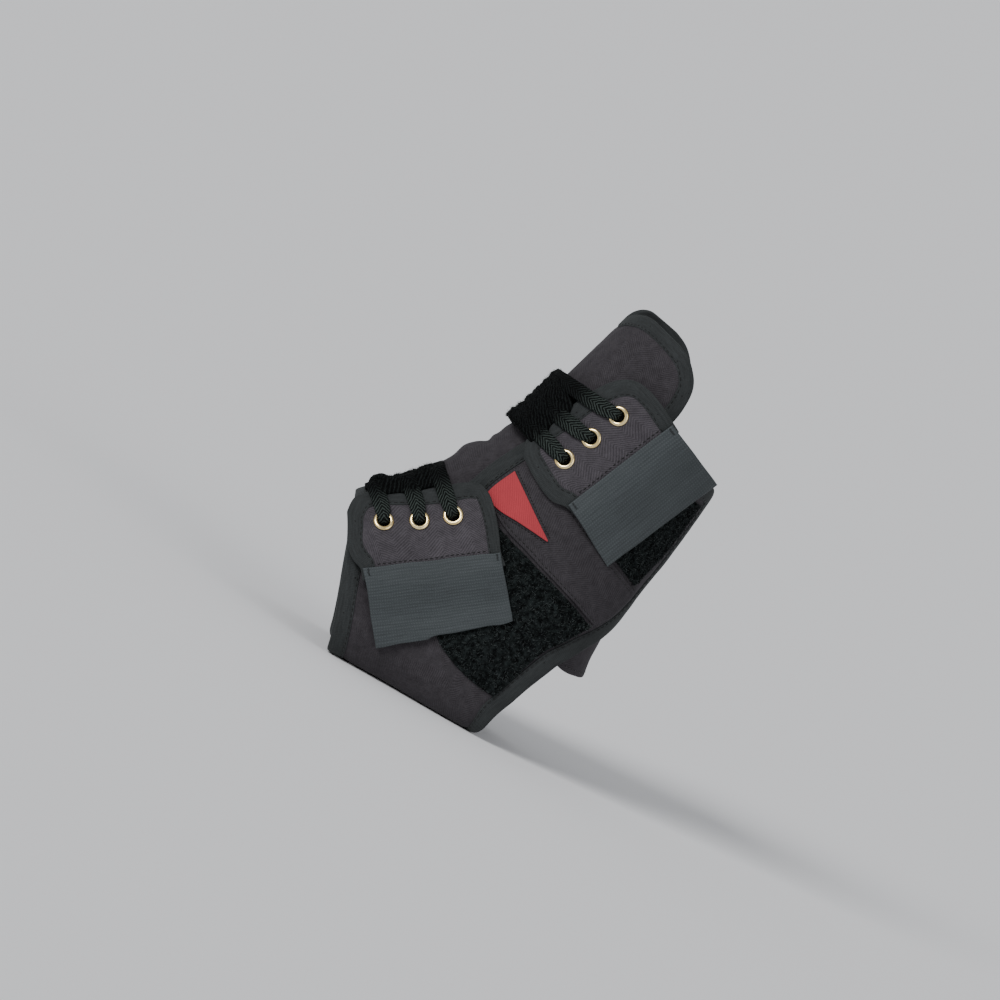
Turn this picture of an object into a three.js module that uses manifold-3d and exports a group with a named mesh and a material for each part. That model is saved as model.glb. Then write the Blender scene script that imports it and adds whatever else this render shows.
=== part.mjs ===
// Lace-up ankle brace: a padded cloth shell round the ankle, open at the toe, the heel and the top.
// Millimetres, +Z up. The toe points to -X, the hook-strap side faces -Y (the near side), and the
// origin is the middle of the flat sole that the brace stands on.
//
// Every piece lies on one inner form, the hollow that the leg and foot fill. A place on the form is
// (v, t): v runs from 0 at the leg opening to 1 at the forefoot opening, and t goes round in degrees
// from 0 at the front, through 90 on the near side, to 180 at the back or sole. Negative t is the
// far side. A lift is a distance outwards from the form.
import * as THREE from "three";
import Module from "manifold-3d";
import { mergeVertices } from "three/addons/utils/BufferGeometryUtils.js";

// Overall sizes of the inner form
const LEG_HEIGHT = 205; // sole to the front of the leg opening
const FOOT_REACH = 101; // rear edge of the sole to the front of the forefoot opening
const HALF_WIDTH = 43; // half the width of the forefoot opening

// Thicknesses
const TONGUE_THICK = 2.4;
const PANEL_THICK = 2.5;
const SOLE_THICK = 3.1;
const BACK_THICK = 1.8;
const SKIN_THICK = 1.1; // loop patches and stay cover
const PATCH_THICK = 0.9; // plain wedge on the stay cover
const TAB_THICK = 1.5;
const STRAP_THICK = 1.3;
const LACE_THICK = 1.2;
const TAPE_PROUD = 0.3; // how far an edge binding stands above its panel
const TONGUE_PROUD = 0.2;

// Clearances
const CLEAR = 0.3; // between neighbours in one layer
const LAYER_GAP = 0.5; // between one padded layer and the next
const SKIN_GAP = 0.4; // between thin layers

// Bindings, straps, laces and eyelets
const BINDING_WIDTH = 8.2;
const TONGUE_BINDING_WIDTH = 7;
const TAB_BINDING_WIDTH = 7.2;
const TAPE_ROUND = 0.8; // rounding of a binding's outer edge
const STRAP_LAP = 5; // how far a hook strap is sewn over its tab
const STRAP_STEP = 6; // length in which the strap drops from its tab to the loop pile
const LACE_WIDTH = 6.4;
const LACE_NECK = 4; // lace width where it goes through an eyelet
const EYELET_HOLE = 5.6;
const EYELET_WALL = 0.45;
const FLANGE_WIDTH = 9.6;
const FLANGE_THICK = 0.7;
const ROLL_WIDTH = 8; // clinched rim on the underside of a tab
const ROLL_THICK = 0.5;
const EYELET_SIDES = 10;
const KNOT_SIZE = 7.5;
const LACE_EDGE = 0.52; // of an eyelet's t, where a strand leaves the edge of its tab or panel

// Where each layer lies, as lifts from the form
const PANEL_LIFT = TONGUE_THICK + TONGUE_PROUD + LAYER_GAP;
const PANEL_TOP = PANEL_LIFT + PANEL_THICK;
const SOLE_LIFT = PANEL_LIFT + SOLE_THICK;
const SKIN_LIFT = PANEL_TOP + SKIN_GAP;
const SKIN_TOP = SKIN_LIFT + SKIN_THICK;
const WEDGE_LIFT = SKIN_TOP + CLEAR;
const LACE_LIFT = PANEL_TOP + TAPE_PROUD + SKIN_GAP + LACE_THICK / 2; // lace under a tab, its middle
const TAB_LIFT = LACE_LIFT + LACE_THICK / 2 + CLEAR + ROLL_THICK + SKIN_GAP;
const TAB_TOP = TAB_LIFT + TAB_THICK;
const STRAP_LIFT = SKIN_TOP + SKIN_GAP;
const LAP_LIFT = TAB_TOP + TAPE_PROUD + SKIN_GAP;

const SOLE_MIDDLE = 0.37; // of FOOT_REACH, from the rear edge of the sole
const SOLE_FLATNESS = 3; // how softly the form's underside turns into the flat sole

// Sections of the form, from the leg opening to the forefoot opening.
// front and back reach are shares of FOOT_REACH, heights shares of LEG_HEIGHT, width of HALF_WIDTH.
// belly is where along the section its widest point lies, square how boxy the section is.
const SECTIONS = [
  // front reach, front height, back reach, back height, width, belly, square
  [0.267, 1.0, -0.431, 0.927, 0.814, 0.5, 2.1],
  [0.376, 0.805, -0.401, 0.732, 0.779, 0.5, 2.1],
  [0.455, 0.663, -0.366, 0.546, 0.767, 0.5, 2.1],
  [0.525, 0.595, -0.327, 0.4, 0.826, 0.5, 2.1],
  [0.584, 0.546, -0.327, 0.254, 0.837, 0.52, 2.1],
  [0.653, 0.483, -0.347, 0.098, 0.791, 0.55, 2.2],
  [0.772, 0.41, -0.129, -0.039, 0.837, 0.6, 2.4],
  [0.901, 0.337, 0.337, -0.039, 0.907, 0.62, 2.5],
  [1.0, 0.283, 0.723, -0.039, 1.0, 0.62, 2.5],
];

// Folds across the front of the tongue, as the laces gather it
const FOLDS = [
  // v, height in tongue thicknesses, half length in v
  [0.575, 1.0, 0.055],
  [0.48, -0.8, 0.03],
  [0.41, -0.35, 0.035],
  [0.2, 0.15, 0.1],
];
const FOLD_SIDE = 38; // degrees from the front at which the folds have died out

// Outlines as (v, t) points that a smooth curve passes through
const SEAM = 148; // t of the seam between a side panel and the sole
const HEEL_V = 0.775; // v of the sole's rear edge
const PANEL_FOREFOOT = [[1, SEAM], [1, 120], [1, 90], [0.995, 66], [0.99, 50]];
const PANEL_FRONT = [[0.965, 39.5], [0.9, 36], [0.75, 36], [0.6, 36], [0.45, 37], [0.3, 39.5], [0.19, 43.5]];
const PANEL_TOP_EDGE = [[0.14, 50], [0.123, 62], [0.125, 100], [0.127, 150], [0.13, 166]];
const PANEL_REAR = [
  [0.16, 176.5], [0.23, 177], [0.32, 177], [0.385, 174], [0.45, 160], [0.515, 143],
  [0.595, 126], [0.65, 123], [0.704, 125], [0.74, 132], [HEEL_V, SEAM],
];
const PANEL_CORNERS = [[0.985, 44], [0.14, 50], [0.14, 173]];
const TONGUE_TOP = [[0.024, 0], [0.02, 8], [0.009, 19], [0, 38], [0.001, 70]];
const TONGUE_SIDE = [[0.02, 91], [0.055, 98], [0.12, 98], [0.3, 90], [0.5, 78], [0.7, 66], [0.88, 57]];
const TONGUE_END = [[0.95, 44], [0.97, 25], [0.97, 0]];
const TONGUE_CORNERS = [[0.008, 82], [0.93, 51]];
const BACK_SIDE = 112; // t of the back panel's side edges
const BACK_TOP_V = 0.15;
const BACK_HEM = [[0.59, 112], [0.584, 130], [0.556, 156], [0.546, 180]];

const LOOP_LOW = {
  top: [[0.84, 68], [0.7, 62], [0.572, 60]],
  left: [[0.84, 68], [0.818, 80], [0.779, 95], [0.737, 109], [0.72, 115.5]],
  right: [[0.572, 60], [0.552, 70], [0.523, 84], [0.499, 100], [0.482, 118], [0.475, 137]],
  bottom: [[0.72, 115.5], [0.674, 112.5], [0.605, 114], [0.54, 125], [0.475, 137]],
};
const LOOP_HIGH = {
  top: [[0.155, 74], [0.157, 120], [0.16, 164]],
  left: [[0.155, 74], [0.24, 75], [0.326, 76]],
  right: [[0.16, 164], [0.25, 165.5], [0.34, 162]],
  bottom: [[0.326, 76], [0.333, 100], [0.336, 128], [0.34, 162]],
};
const STAY_COVER = {
  top: [[0.558, 49.5], [0.45, 49.5], [0.335, 54]],
  left: [[0.558, 49.5], [0.544, 67], [0.517, 82], [0.494, 98], [0.476, 117], [0.467, 138]],
  right: [[0.335, 54], [0.335, 76], [0.342, 100], [0.345, 128], [0.35, 158]],
  bottom: [[0.467, 138], [0.43, 147.5], [0.39, 154], [0.35, 158]],
};
const WEDGE = {
  top: [[0.553, 50], [0.485, 51.2], [0.42, 54]],
  left: [[0.553, 50], [0.546, 58], [0.496, 73], [0.452, 87]],
  right: [[0.42, 54], [0.432, 71], [0.446, 87]],
  bottom: [[0.452, 87], [0.449, 87.2], [0.446, 87]],
};
// seam is a hook strap's upper edge, where it is sewn over its tab; end is the strap's lower edge.
// left, front and right follow the tab's bound edge from below the seam round to below it again.
// crown is the laces' lift at the front; with a small drape they fall to it steeply from the tab's edge.
const TABS = [
  {
    name: "lower",
    left: [[0.95, 79], [0.957, 74], [0.984, 69], [1, 60]],
    front: [[1, 47], [0.99, 37], [0.94, 29.5], [0.82, 30], [0.7, 34], [0.6, 39]],
    right: [[0.556, 44], [0.537, 51], [0.54, 58], [0.557, 66], [0.585, 73], [0.591, 78]],
    corners: [[1, 41], [0.56, 43]],
    seam: [[0.957, 74], [0.863, 69], [0.777, 65.5], [0.691, 66.5], [0.584, 74]],
    strapLeft: [[0.957, 74], [0.934, 89], [0.914, 108]],
    strapRight: [[0.584, 74], [0.614, 83], [0.638, 93]],
    strapEnd: [[0.914, 108], [0.849, 95], [0.782, 89], [0.71, 88], [0.638, 93]],
    eyelets: [[0.879, 48.4], [0.783, 47.5], [0.69, 49.1]],
    farEyelets: [[0.88, -54], [0.783, -53], [0.69, -53]],
    crown: 3.7,
    drape: 0.45,
  },
  {
    name: "upper",
    left: [[0.345, 91], [0.35, 85], [0.372, 77], [0.374, 66]],
    front: [[0.368, 55], [0.352, 46.5], [0.32, 42.5], [0.26, 42], [0.2, 45.5], [0.14, 50]],
    right: [[0.1, 56], [0.079, 64], [0.073, 75], [0.077, 87], [0.086, 98], [0.09, 103]],
    corners: [[0.362, 50], [0.105, 55]],
    seam: [[0.345, 85], [0.247, 86], [0.182, 89], [0.132, 93], [0.086, 98]],
    strapLeft: [[0.345, 85], [0.349, 102], [0.358, 123]],
    strapRight: [[0.086, 98], [0.1, 121], [0.117, 153]],
    strapEnd: [[0.358, 123], [0.282, 128], [0.219, 134], [0.167, 142], [0.117, 153]],
    eyelets: [[0.263, 66.4], [0.19, 69.4], [0.132, 72.7]],
    farEyelets: [[0.3, -61], [0.24, -63], [0.18, -66]],
    crown: 7,
    drape: 1.2,
  },
];
const KNOT_PLACE = [0.885, 4, 6.2]; // v, t and lift of the knot on the lower lace

// Colours
const COLOURS = {
  twill: "#3b363b",
  tape: "#262c2b",
  loop: "#131414",
  hook: "#39423f",
  wedge: "#bd414a",
  brass: "#c9a24a",
  lace: "#0b0c0c",
};

const wasm = await Module();
wasm.setup();

// The inner form

function spline(a, b, c, d, x) {
  return b + 0.5 * x * (c - a + x * (2 * a - 5 * b + 4 * c - d + x * (3 * (b - c) + d - a)));
}

function sectionAt(v) {
  const last = SECTIONS.length - 1;
  const place = THREE.MathUtils.clamp(v, 0, 1) * last;
  const i = Math.min(Math.floor(place), last - 1);
  return SECTIONS[0].map((_, column) => {
    const b = SECTIONS[i][column];
    const c = SECTIONS[i + 1][column];
    const a = i > 0 ? SECTIONS[i - 1][column] : 2 * b - c;
    const d = i + 2 <= last ? SECTIONS[i + 2][column] : 2 * c - b;
    return spline(a, b, c, d, place - i);
  });
}

function flattenSole(z) {
  if (z > SOLE_FLATNESS) return z;
  return z < -SOLE_FLATNESS ? 0 : (z + SOLE_FLATNESS) ** 2 / (4 * SOLE_FLATNESS);
}

function formPoint(v, t) {
  const [frontReach, frontHeight, backReach, backHeight, width, belly, square] = sectionAt(v);
  const angle = THREE.MathUtils.degToRad(t);
  const along = Math.sign(Math.cos(angle)) * Math.abs(Math.cos(angle)) ** (2 / square);
  const across = Math.sign(Math.sin(angle)) * Math.abs(Math.sin(angle)) ** (2 / square);
  const share = along > 0 ? belly * (1 - along) : belly - (1 - belly) * along;
  const reach = (frontReach + (backReach - frontReach) * share - SOLE_MIDDLE) * FOOT_REACH;
  const height = (frontHeight + (backHeight - frontHeight) * share) * LEG_HEIGHT;
  return new THREE.Vector3(-reach, -across * width * HALF_WIDTH, flattenSole(height) + SOLE_LIFT);
}

// Directions along v and t at a place, and the outward normal
function frameAt(v, t) {
  const stepV = 0.002;
  const stepT = 0.4;
  const v0 = Math.max(v - stepV, 0);
  const v1 = Math.min(v + stepV, 1);
  const alongV = formPoint(v1, t).sub(formPoint(v0, t)).divideScalar(v1 - v0);
  const alongT = formPoint(v, t + stepT).sub(formPoint(v, t - stepT)).divideScalar(2 * stepT);
  const normal = new THREE.Vector3().crossVectors(alongV, alongT).normalize();
  return { alongV, alongT, normal };
}

function onForm(v, t, lift) {
  return formPoint(v, t).addScaledVector(frameAt(v, t).normal, lift);
}

// Moves from (v, t) over the form by a distance in a direction of space
function walk([v, t], direction, distance) {
  const steps = 4;
  for (let k = 0; k < steps; k += 1) {
    const { alongV: a, alongT: b, normal } = frameAt(v, t);
    const flat = direction.clone().addScaledVector(normal, -direction.dot(normal)).setLength(distance / steps);
    const aa = a.dot(a);
    const ab = a.dot(b);
    const bb = b.dot(b);
    const det = aa * bb - ab * ab;
    const da = flat.dot(a);
    const db = flat.dot(b);
    v += (da * bb - db * ab) / det;
    t += (db * aa - da * ab) / det;
  }
  return [v, t];
}

// Curves on the form

// Points at equal distances along a smooth curve through the given (v, t) points
function curveOn(points, count) {
  const scale = 180; // v counts about as much as a half turn
  const knots = points.map(([v, t]) => new THREE.Vector3(v * scale, t, 0));
  const fine = new THREE.CatmullRomCurve3(knots, false, "centripetal").getPoints(points.length * 12);
  const places = fine.map((p) => [p.x / scale, p.y]);
  return resample(places, count);
}

function resample(places, count) {
  const spots = places.map(([v, t]) => formPoint(v, t));
  const lengths = [0];
  for (let i = 1; i < spots.length; i += 1) lengths.push(lengths[i - 1] + spots[i].distanceTo(spots[i - 1]));
  const total = lengths[lengths.length - 1];
  const out = [];
  let i = 1;
  for (let k = 0; k <= count; k += 1) {
    const want = (total * k) / count;
    while (i < lengths.length - 1 && lengths[i] < want) i += 1;
    const share = (want - lengths[i - 1]) / (lengths[i] - lengths[i - 1] || 1);
    out.push(places[i - 1].map((x, c) => x + (places[i][c] - x) * share));
  }
  return out;
}

// Places on the way from one place to another, ending at the second
function stretch(from, to, count) {
  return Array.from({ length: count }, (_, k) => from.map((x, c) => x + ((to[c] - x) * (k + 1)) / count));
}

function closest(places, [v, t]) {
  const goal = formPoint(v, t);
  const gaps = places.map((place) => formPoint(...place).distanceTo(goal));
  return gaps.indexOf(Math.min(...gaps));
}

// One smooth curve cut at its corners into parts, each with its own number of equal steps
function curveInParts(points, corners, counts) {
  const fine = curveOn(points, 400);
  const cuts = [0, ...corners.map((corner) => closest(fine, corner)), fine.length - 1];
  return counts.flatMap((count, k) => resample(fine.slice(cuts[k], cuts[k + 1] + 1), count).slice(k > 0 ? 1 : 0));
}

// For each place on a curve, the direction over the form to the curve's inner side.
// side is 1 where the piece lies to the right of the curve, seen from outside, and -1 to the left.
function inwardDirections(places, side, closed) {
  const spots = places.map(([v, t]) => formPoint(v, t));
  const count = spots.length;
  return places.map(([v, t], i) => {
    const before = spots[closed ? (i + count - 1) % count : Math.max(i - 1, 0)];
    const after = spots[closed ? (i + 1) % count : Math.min(i + 1, count - 1)];
    const tangent = after.clone().sub(before);
    return tangent.cross(frameAt(v, t).normal).normalize().multiplyScalar(side);
  });
}

// seams, where given, are the t of the seams that the two ends of an open curve stay on
function inset(places, side, distance, { closed = false, seams = null } = {}) {
  const directions = inwardDirections(places, side, closed);
  const moved = places.map((place, i) => walk(place, directions[i], distance));
  if (seams) [moved[0][1], moved[moved.length - 1][1]] = seams;
  return moved;
}

const mirrored = (places) => places.map(([v, t]) => [v, -t]);
const backwards = (places) => [...places].reverse();

// Solids

function signedVolume(positions, index) {
  const corner = (k) => new THREE.Vector3().fromArray(positions, 3 * index[k]);
  let total = 0;
  for (let k = 0; k < index.length; k += 3) total += corner(k).dot(corner(k + 1).cross(corner(k + 2)));
  return total / 6;
}

function solidFrom(positions, index) {
  const faces = [...index];
  if (signedVolume(positions, faces) < 0) {
    for (let k = 0; k < faces.length; k += 3) [faces[k], faces[k + 1]] = [faces[k + 1], faces[k]];
  }
  const geometry = new THREE.BufferGeometry();
  geometry.setAttribute("position", new THREE.Float32BufferAttribute(positions, 3));
  geometry.setIndex(faces);
  return geometry;
}

// Fills the space between four edge curves; top and bottom run left to right, left and right downwards
function patchPlaces(top, bottom, left, right) {
  const rows = left.length - 1;
  const columns = top.length - 1;
  const grid = [];
  for (let i = 0; i <= rows; i += 1) {
    const b = i / rows;
    const row = [];
    for (let j = 0; j <= columns; j += 1) {
      const a = j / columns;
      row.push([0, 1].map((c) => {
        const down = (1 - b) * top[j][c] + b * bottom[j][c];
        const across = (1 - a) * left[i][c] + a * right[i][c];
        const upper = (1 - a) * top[0][c] + a * top[columns][c];
        const lower = (1 - a) * bottom[0][c] + a * bottom[columns][c];
        return down + across - (1 - b) * upper - b * lower;
      }));
    }
    grid.push(row);
  }
  return grid;
}

// A wall over a grid of places: liftAt gives the inner face's lift for row i and column j
function wallOver(grid, liftAt, thickness) {
  const rows = grid.length;
  const columns = grid[0].length;
  const positions = [];
  for (const extra of [0, thickness]) {
    grid.forEach((row, i) => row.forEach(([v, t], j) => {
      positions.push(...onForm(v, t, liftAt(v, t, i, j) + extra));
    }));
  }
  const inner = (i, j) => i * columns + j;
  const outer = (i, j) => rows * columns + inner(i, j);
  const index = [];
  for (let i = 0; i + 1 < rows; i += 1) {
    for (let j = 0; j + 1 < columns; j += 1) {
      index.push(outer(i, j), outer(i + 1, j), outer(i, j + 1));
      index.push(outer(i, j + 1), outer(i + 1, j), outer(i + 1, j + 1));
      index.push(inner(i, j), inner(i, j + 1), inner(i + 1, j));
      index.push(inner(i, j + 1), inner(i + 1, j + 1), inner(i + 1, j));
    }
  }
  const rim = [];
  for (let j = 0; j + 1 < columns; j += 1) rim.push([0, j]);
  for (let i = 0; i + 1 < rows; i += 1) rim.push([i, columns - 1]);
  for (let j = columns - 1; j > 0; j -= 1) rim.push([rows - 1, j]);
  for (let i = rows - 1; i > 0; i -= 1) rim.push([i, 0]);
  rim.forEach((here, k) => {
    const next = rim[(k + 1) % rim.length];
    index.push(outer(...here), outer(...next), inner(...here));
    index.push(inner(...here), outer(...next), inner(...next));
  });
  return solidFrom(positions, index);
}

// Joins a row of rings of points into one solid, closed by a fan at each end or into a loop
function solidThrough(rings, closed = false) {
  const sides = rings[0].length;
  const positions = rings.flat().flatMap((p) => [p.x, p.y, p.z]);
  const index = [];
  const spans = closed ? rings.length : rings.length - 1;
  for (let i = 0; i < spans; i += 1) {
    const here = i * sides;
    const next = ((i + 1) % rings.length) * sides;
    for (let k = 0; k < sides; k += 1) {
      const m = (k + 1) % sides;
      index.push(here + k, next + k, here + m, here + m, next + k, next + m);
    }
  }
  if (!closed) {
    const end = (rings.length - 1) * sides;
    for (let k = 1; k + 1 < sides; k += 1) {
      index.push(0, k, k + 1, end, end + k + 1, end + k);
    }
  }
  return solidFrom(positions, index);
}

// A folded tape along an edge curve, from the edge inwards by its width
function bindingAlong(places, side, width, low, high, ends = {}) {
  const shoulders = inset(places, side, TAPE_ROUND, ends);
  const inners = inset(places, side, width, ends);
  const rings = places.map((place, i) => [
    onForm(...inners[i], low),
    onForm(...inners[i], high),
    onForm(...shoulders[i], high),
    onForm(...place, high - TAPE_ROUND),
    onForm(...place, low + TAPE_ROUND),
    onForm(...shoulders[i], low),
  ]);
  return solidThrough(rings, ends.closed);
}

function toManifold(geometry) {
  return new wasm.Manifold(new wasm.Mesh({
    numProp: 3,
    vertProperties: new Float32Array(geometry.attributes.position.array),
    triVerts: new Uint32Array(geometry.index.array),
  }));
}

function fromManifold(solid) {
  const mesh = solid.getMesh();
  return solidFrom([...mesh.vertProperties], [...mesh.triVerts]);
}

function positionsOnly(geometry) {
  geometry.deleteAttribute("normal");
  geometry.deleteAttribute("uv");
  const merged = mergeVertices(geometry);
  return solidFrom([...merged.attributes.position.array], [...merged.index.array]);
}

function fused(geometries) {
  return fromManifold(geometries.map(toManifold).reduce((whole, piece) => whole.add(piece)));
}

function placedOnForm(object, [v, t], lift) {
  object.position.copy(onForm(v, t, lift));
  object.quaternion.setFromUnitVectors(new THREE.Vector3(0, 1, 0), frameAt(v, t).normal);
  return object;
}

function withEyeletHoles(geometry, places, lift) {
  const radius = EYELET_HOLE / 2 + EYELET_WALL + CLEAR;
  const drills = places.map((place) => {
    const drill = positionsOnly(new THREE.CylinderGeometry(radius, radius, 12, EYELET_SIDES));
    const carrier = placedOnForm(new THREE.Object3D(), place, lift);
    carrier.updateMatrix();
    return toManifold(drill.applyMatrix4(carrier.matrix));
  });
  return fromManifold(drills.reduce((solid, drill) => solid.subtract(drill), toManifold(geometry)));
}

// Pieces

const brace = new THREE.Group();

function addPiece(name, geometry, colour, roughness = 0.9, metalness = 0) {
  const material = new THREE.MeshStandardMaterial({ color: COLOURS[colour], roughness, metalness });
  const mesh = new THREE.Mesh(geometry, material);
  mesh.name = name;
  brace.add(mesh);
  return mesh;
}

// How far the tongue's folds lift or sink it
function foldLift(v, t) {
  const side = Math.min(Math.abs(t) / FOLD_SIDE, 1);
  const fade = Math.cos((side * Math.PI) / 2) ** 2;
  return FOLDS.reduce((sum, [place, height, spread]) => {
    const off = (v - place) / spread;
    return sum + height * TONGUE_THICK * Math.exp(-off * off) * fade;
  }, 0);
}

function makeTongue() {
  const columns = 5; // on each side of the front
  const rows = 17;
  const outline = [...TONGUE_TOP, ...TONGUE_SIDE, ...TONGUE_END];
  const around = curveInParts(outline, TONGUE_CORNERS, [columns, rows, columns]);
  const loop = [...around, ...backwards(mirrored(around)).slice(1, -1)];
  const width = TONGUE_BINDING_WIDTH;
  const high = TONGUE_THICK + TONGUE_PROUD;
  addPiece("tongue_binding", bindingAlong(loop, 1, width, 0, high, { closed: true }), "tape");

  const inner = inset(loop, 1, width + CLEAR, { closed: true }).slice(0, around.length);
  const topHalf = inner.slice(0, columns + 1);
  const side = inner.slice(columns, columns + rows + 1);
  const endHalf = backwards(inner.slice(columns + rows));
  const top = [...backwards(mirrored(topHalf)).slice(0, -1), ...topHalf];
  const bottom = [...backwards(mirrored(endHalf)).slice(0, -1), ...endHalf];
  const grid = patchPlaces(top, bottom, mirrored(side), side);
  addPiece("tongue", wallOver(grid, foldLift, TONGUE_THICK), "twill");
}

function makeBackPanel() {
  const rows = 8;
  const columns = 11;
  const hem = curveOn([...BACK_HEM, ...backwards(BACK_HEM.map(([v, t]) => [v, 360 - t])).slice(1)], columns);
  const top = curveOn([[BACK_TOP_V, BACK_SIDE], [BACK_TOP_V, 180], [BACK_TOP_V, 360 - BACK_SIDE]], columns);
  const left = curveOn([[BACK_TOP_V, BACK_SIDE], BACK_HEM[0]], rows);
  const right = left.map(([v, t]) => [v, 360 - t]);
  addPiece("back_panel", wallOver(patchPlaces(top, hem, left, right), () => 0, BACK_THICK), "twill");
}

// One side panel, with its binding from the sole seam round the front, top and rear edges
function makeSidePanel(name, far) {
  const columns = 9;
  const rows = 17;
  const seamRows = 4;
  const rearRows = rows - seamRows;
  const outline = [...PANEL_FOREFOOT, ...PANEL_FRONT, ...PANEL_TOP_EDGE, ...PANEL_REAR];
  const nearEdge = curveInParts(outline, PANEL_CORNERS, [columns, rows, columns, rearRows]);
  const edge = far ? mirrored(nearEdge) : nearEdge;
  const side = far ? -1 : 1;
  const seams = [side * SEAM, side * SEAM];
  const high = PANEL_TOP + TAPE_PROUD;
  const binding = bindingAlong(edge, side, BINDING_WIDTH, PANEL_LIFT, high, { seams });
  addPiece(`${name}_binding`, binding, "tape");

  const inner = inset(edge, side, BINDING_WIDTH + CLEAR, { seams });
  const bottom = backwards(inner.slice(0, columns + 1));
  const left = backwards(inner.slice(columns, columns + rows + 1));
  const top = inner.slice(columns + rows, 2 * columns + rows + 1);
  const rear = inner.slice(2 * columns + rows);
  const right = [...rear, ...stretch(rear[rearRows], inner[0], seamRows)];
  return wallOver(patchPlaces(top, bottom, left, right), () => PANEL_LIFT, PANEL_THICK);
}

function makeSole() {
  const gap = 0.4; // degrees, about half of CLEAR on the sole
  const start = SEAM + gap;
  const end = 360 - start;
  const columns = 8;
  const front = curveOn([[1, start], [1, 180], [1, end]], columns);
  const rear = curveOn([[HEEL_V, start], [HEEL_V, 180], [HEEL_V, end]], columns);
  const high = PANEL_TOP + TAPE_PROUD;
  const seams = [start, end];
  const frontBinding = bindingAlong(front, -1, BINDING_WIDTH, PANEL_LIFT, high, { seams });
  const rearBinding = bindingAlong(rear, 1, BINDING_WIDTH, PANEL_LIFT, high, { seams });
  addPiece("sole_front_binding", frontBinding, "tape");
  addPiece("sole_rear_binding", rearBinding, "tape");
  const bottom = inset(front, -1, BINDING_WIDTH + CLEAR, { seams });
  const top = inset(rear, 1, BINDING_WIDTH + CLEAR, { seams });
  const rows = 3;
  const left = resample([top[0], bottom[0]], rows);
  const right = resample([top[columns], bottom[columns]], rows);
  addPiece("sole_panel", wallOver(patchPlaces(top, bottom, left, right), () => PANEL_LIFT, SOLE_THICK), "twill");
}

function makeSkin(name, shape, lift, thickness, colour, rows, columns) {
  const top = curveOn(shape.top, columns);
  const bottom = curveOn(shape.bottom, columns);
  const left = curveOn(shape.left, rows);
  const right = curveOn(shape.right, rows);
  addPiece(name, wallOver(patchPlaces(top, bottom, left, right), () => lift, thickness), colour);
}

function makeTab(tab) {
  const columns = 8;
  const rows = 6;
  const outline = [...tab.left, ...tab.front, ...tab.right];
  const edge = curveInParts(outline, tab.corners, [rows, columns, rows]);
  const binding = bindingAlong(edge, 1, TAB_BINDING_WIDTH, TAB_LIFT, TAB_TOP + TAPE_PROUD);
  addPiece(`${tab.name}_tab_binding`, binding, "tape");

  const inner = inset(edge, 1, TAB_BINDING_WIDTH + CLEAR);
  const end = inset(curveOn(tab.seam, 60), 1, STRAP_LAP);
  const endInside = end.slice(closest(end, inner[0]) + 1, closest(end, inner[inner.length - 1]));
  const left = backwards(inner.slice(0, rows + 1));
  const top = inner.slice(rows, rows + columns + 1);
  const right = inner.slice(rows + columns);
  const bottom = resample([inner[0], ...endInside, inner[inner.length - 1]], columns);
  const field = wallOver(patchPlaces(top, bottom, left, right), () => TAB_LIFT, TAB_THICK);
  addPiece(`${tab.name}_tab`, withEyeletHoles(field, tab.eyelets, TAB_LIFT), "twill");
  makeStrap(tab);
  tab.eyelets.forEach((place, i) => makeEyelet(`${tab.name}_tab_eyelet_${i + 1}`, place, TAB_LIFT, TAB_TOP, true));
}

// The hook strap is sewn over the tab's lower end and lies on the loop pile below it
function makeStrap(tab) {
  const rows = 7;
  const columns = 6;
  const left = curveOn(tab.strapLeft, rows);
  const right = curveOn(tab.strapRight, rows);
  const grid = patchPlaces(curveOn(tab.seam, columns), curveOn(tab.strapEnd, columns), left, right);
  const liftAt = (v, t, i, j) => {
    const fromSewn = formPoint(v, t).distanceTo(formPoint(...grid[0][j]));
    const drop = THREE.MathUtils.smoothstep(fromSewn, STRAP_LAP + 1, STRAP_LAP + 1 + STRAP_STEP);
    return THREE.MathUtils.lerp(LAP_LIFT, STRAP_LIFT, drop);
  };
  addPiece(`${tab.name}_hook_strap`, wallOver(grid, liftAt, STRAP_THICK), "hook");
}

// An eyelet's flange lies on the cloth and its barrel goes through; a clinched one has a rim below too
function makeEyelet(name, place, low, high, clinched) {
  const hole = EYELET_HOLE / 2;
  const barrel = hole + EYELET_WALL;
  const seat = high + CLEAR;
  const base = clinched ? low - CLEAR - ROLL_THICK : low;
  const profile = [[hole, base]];
  if (clinched) {
    profile.push([ROLL_WIDTH / 2, base], [ROLL_WIDTH / 2, base + ROLL_THICK], [barrel, base + ROLL_THICK]);
  } else {
    profile.push([barrel, base]);
  }
  profile.push([barrel, seat], [FLANGE_WIDTH / 2, seat], [hole + 1, seat + FLANGE_THICK], [hole, seat + FLANGE_THICK / 2]);
  const points = [...profile, profile[0]].map(([r, lift]) => new THREE.Vector2(r, lift - seat));
  const geometry = positionsOnly(new THREE.LatheGeometry(points, EYELET_SIDES));
  placedOnForm(addPiece(name, geometry, "brass", 0.25, 1), place, seat);
}

// Laces

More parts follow.
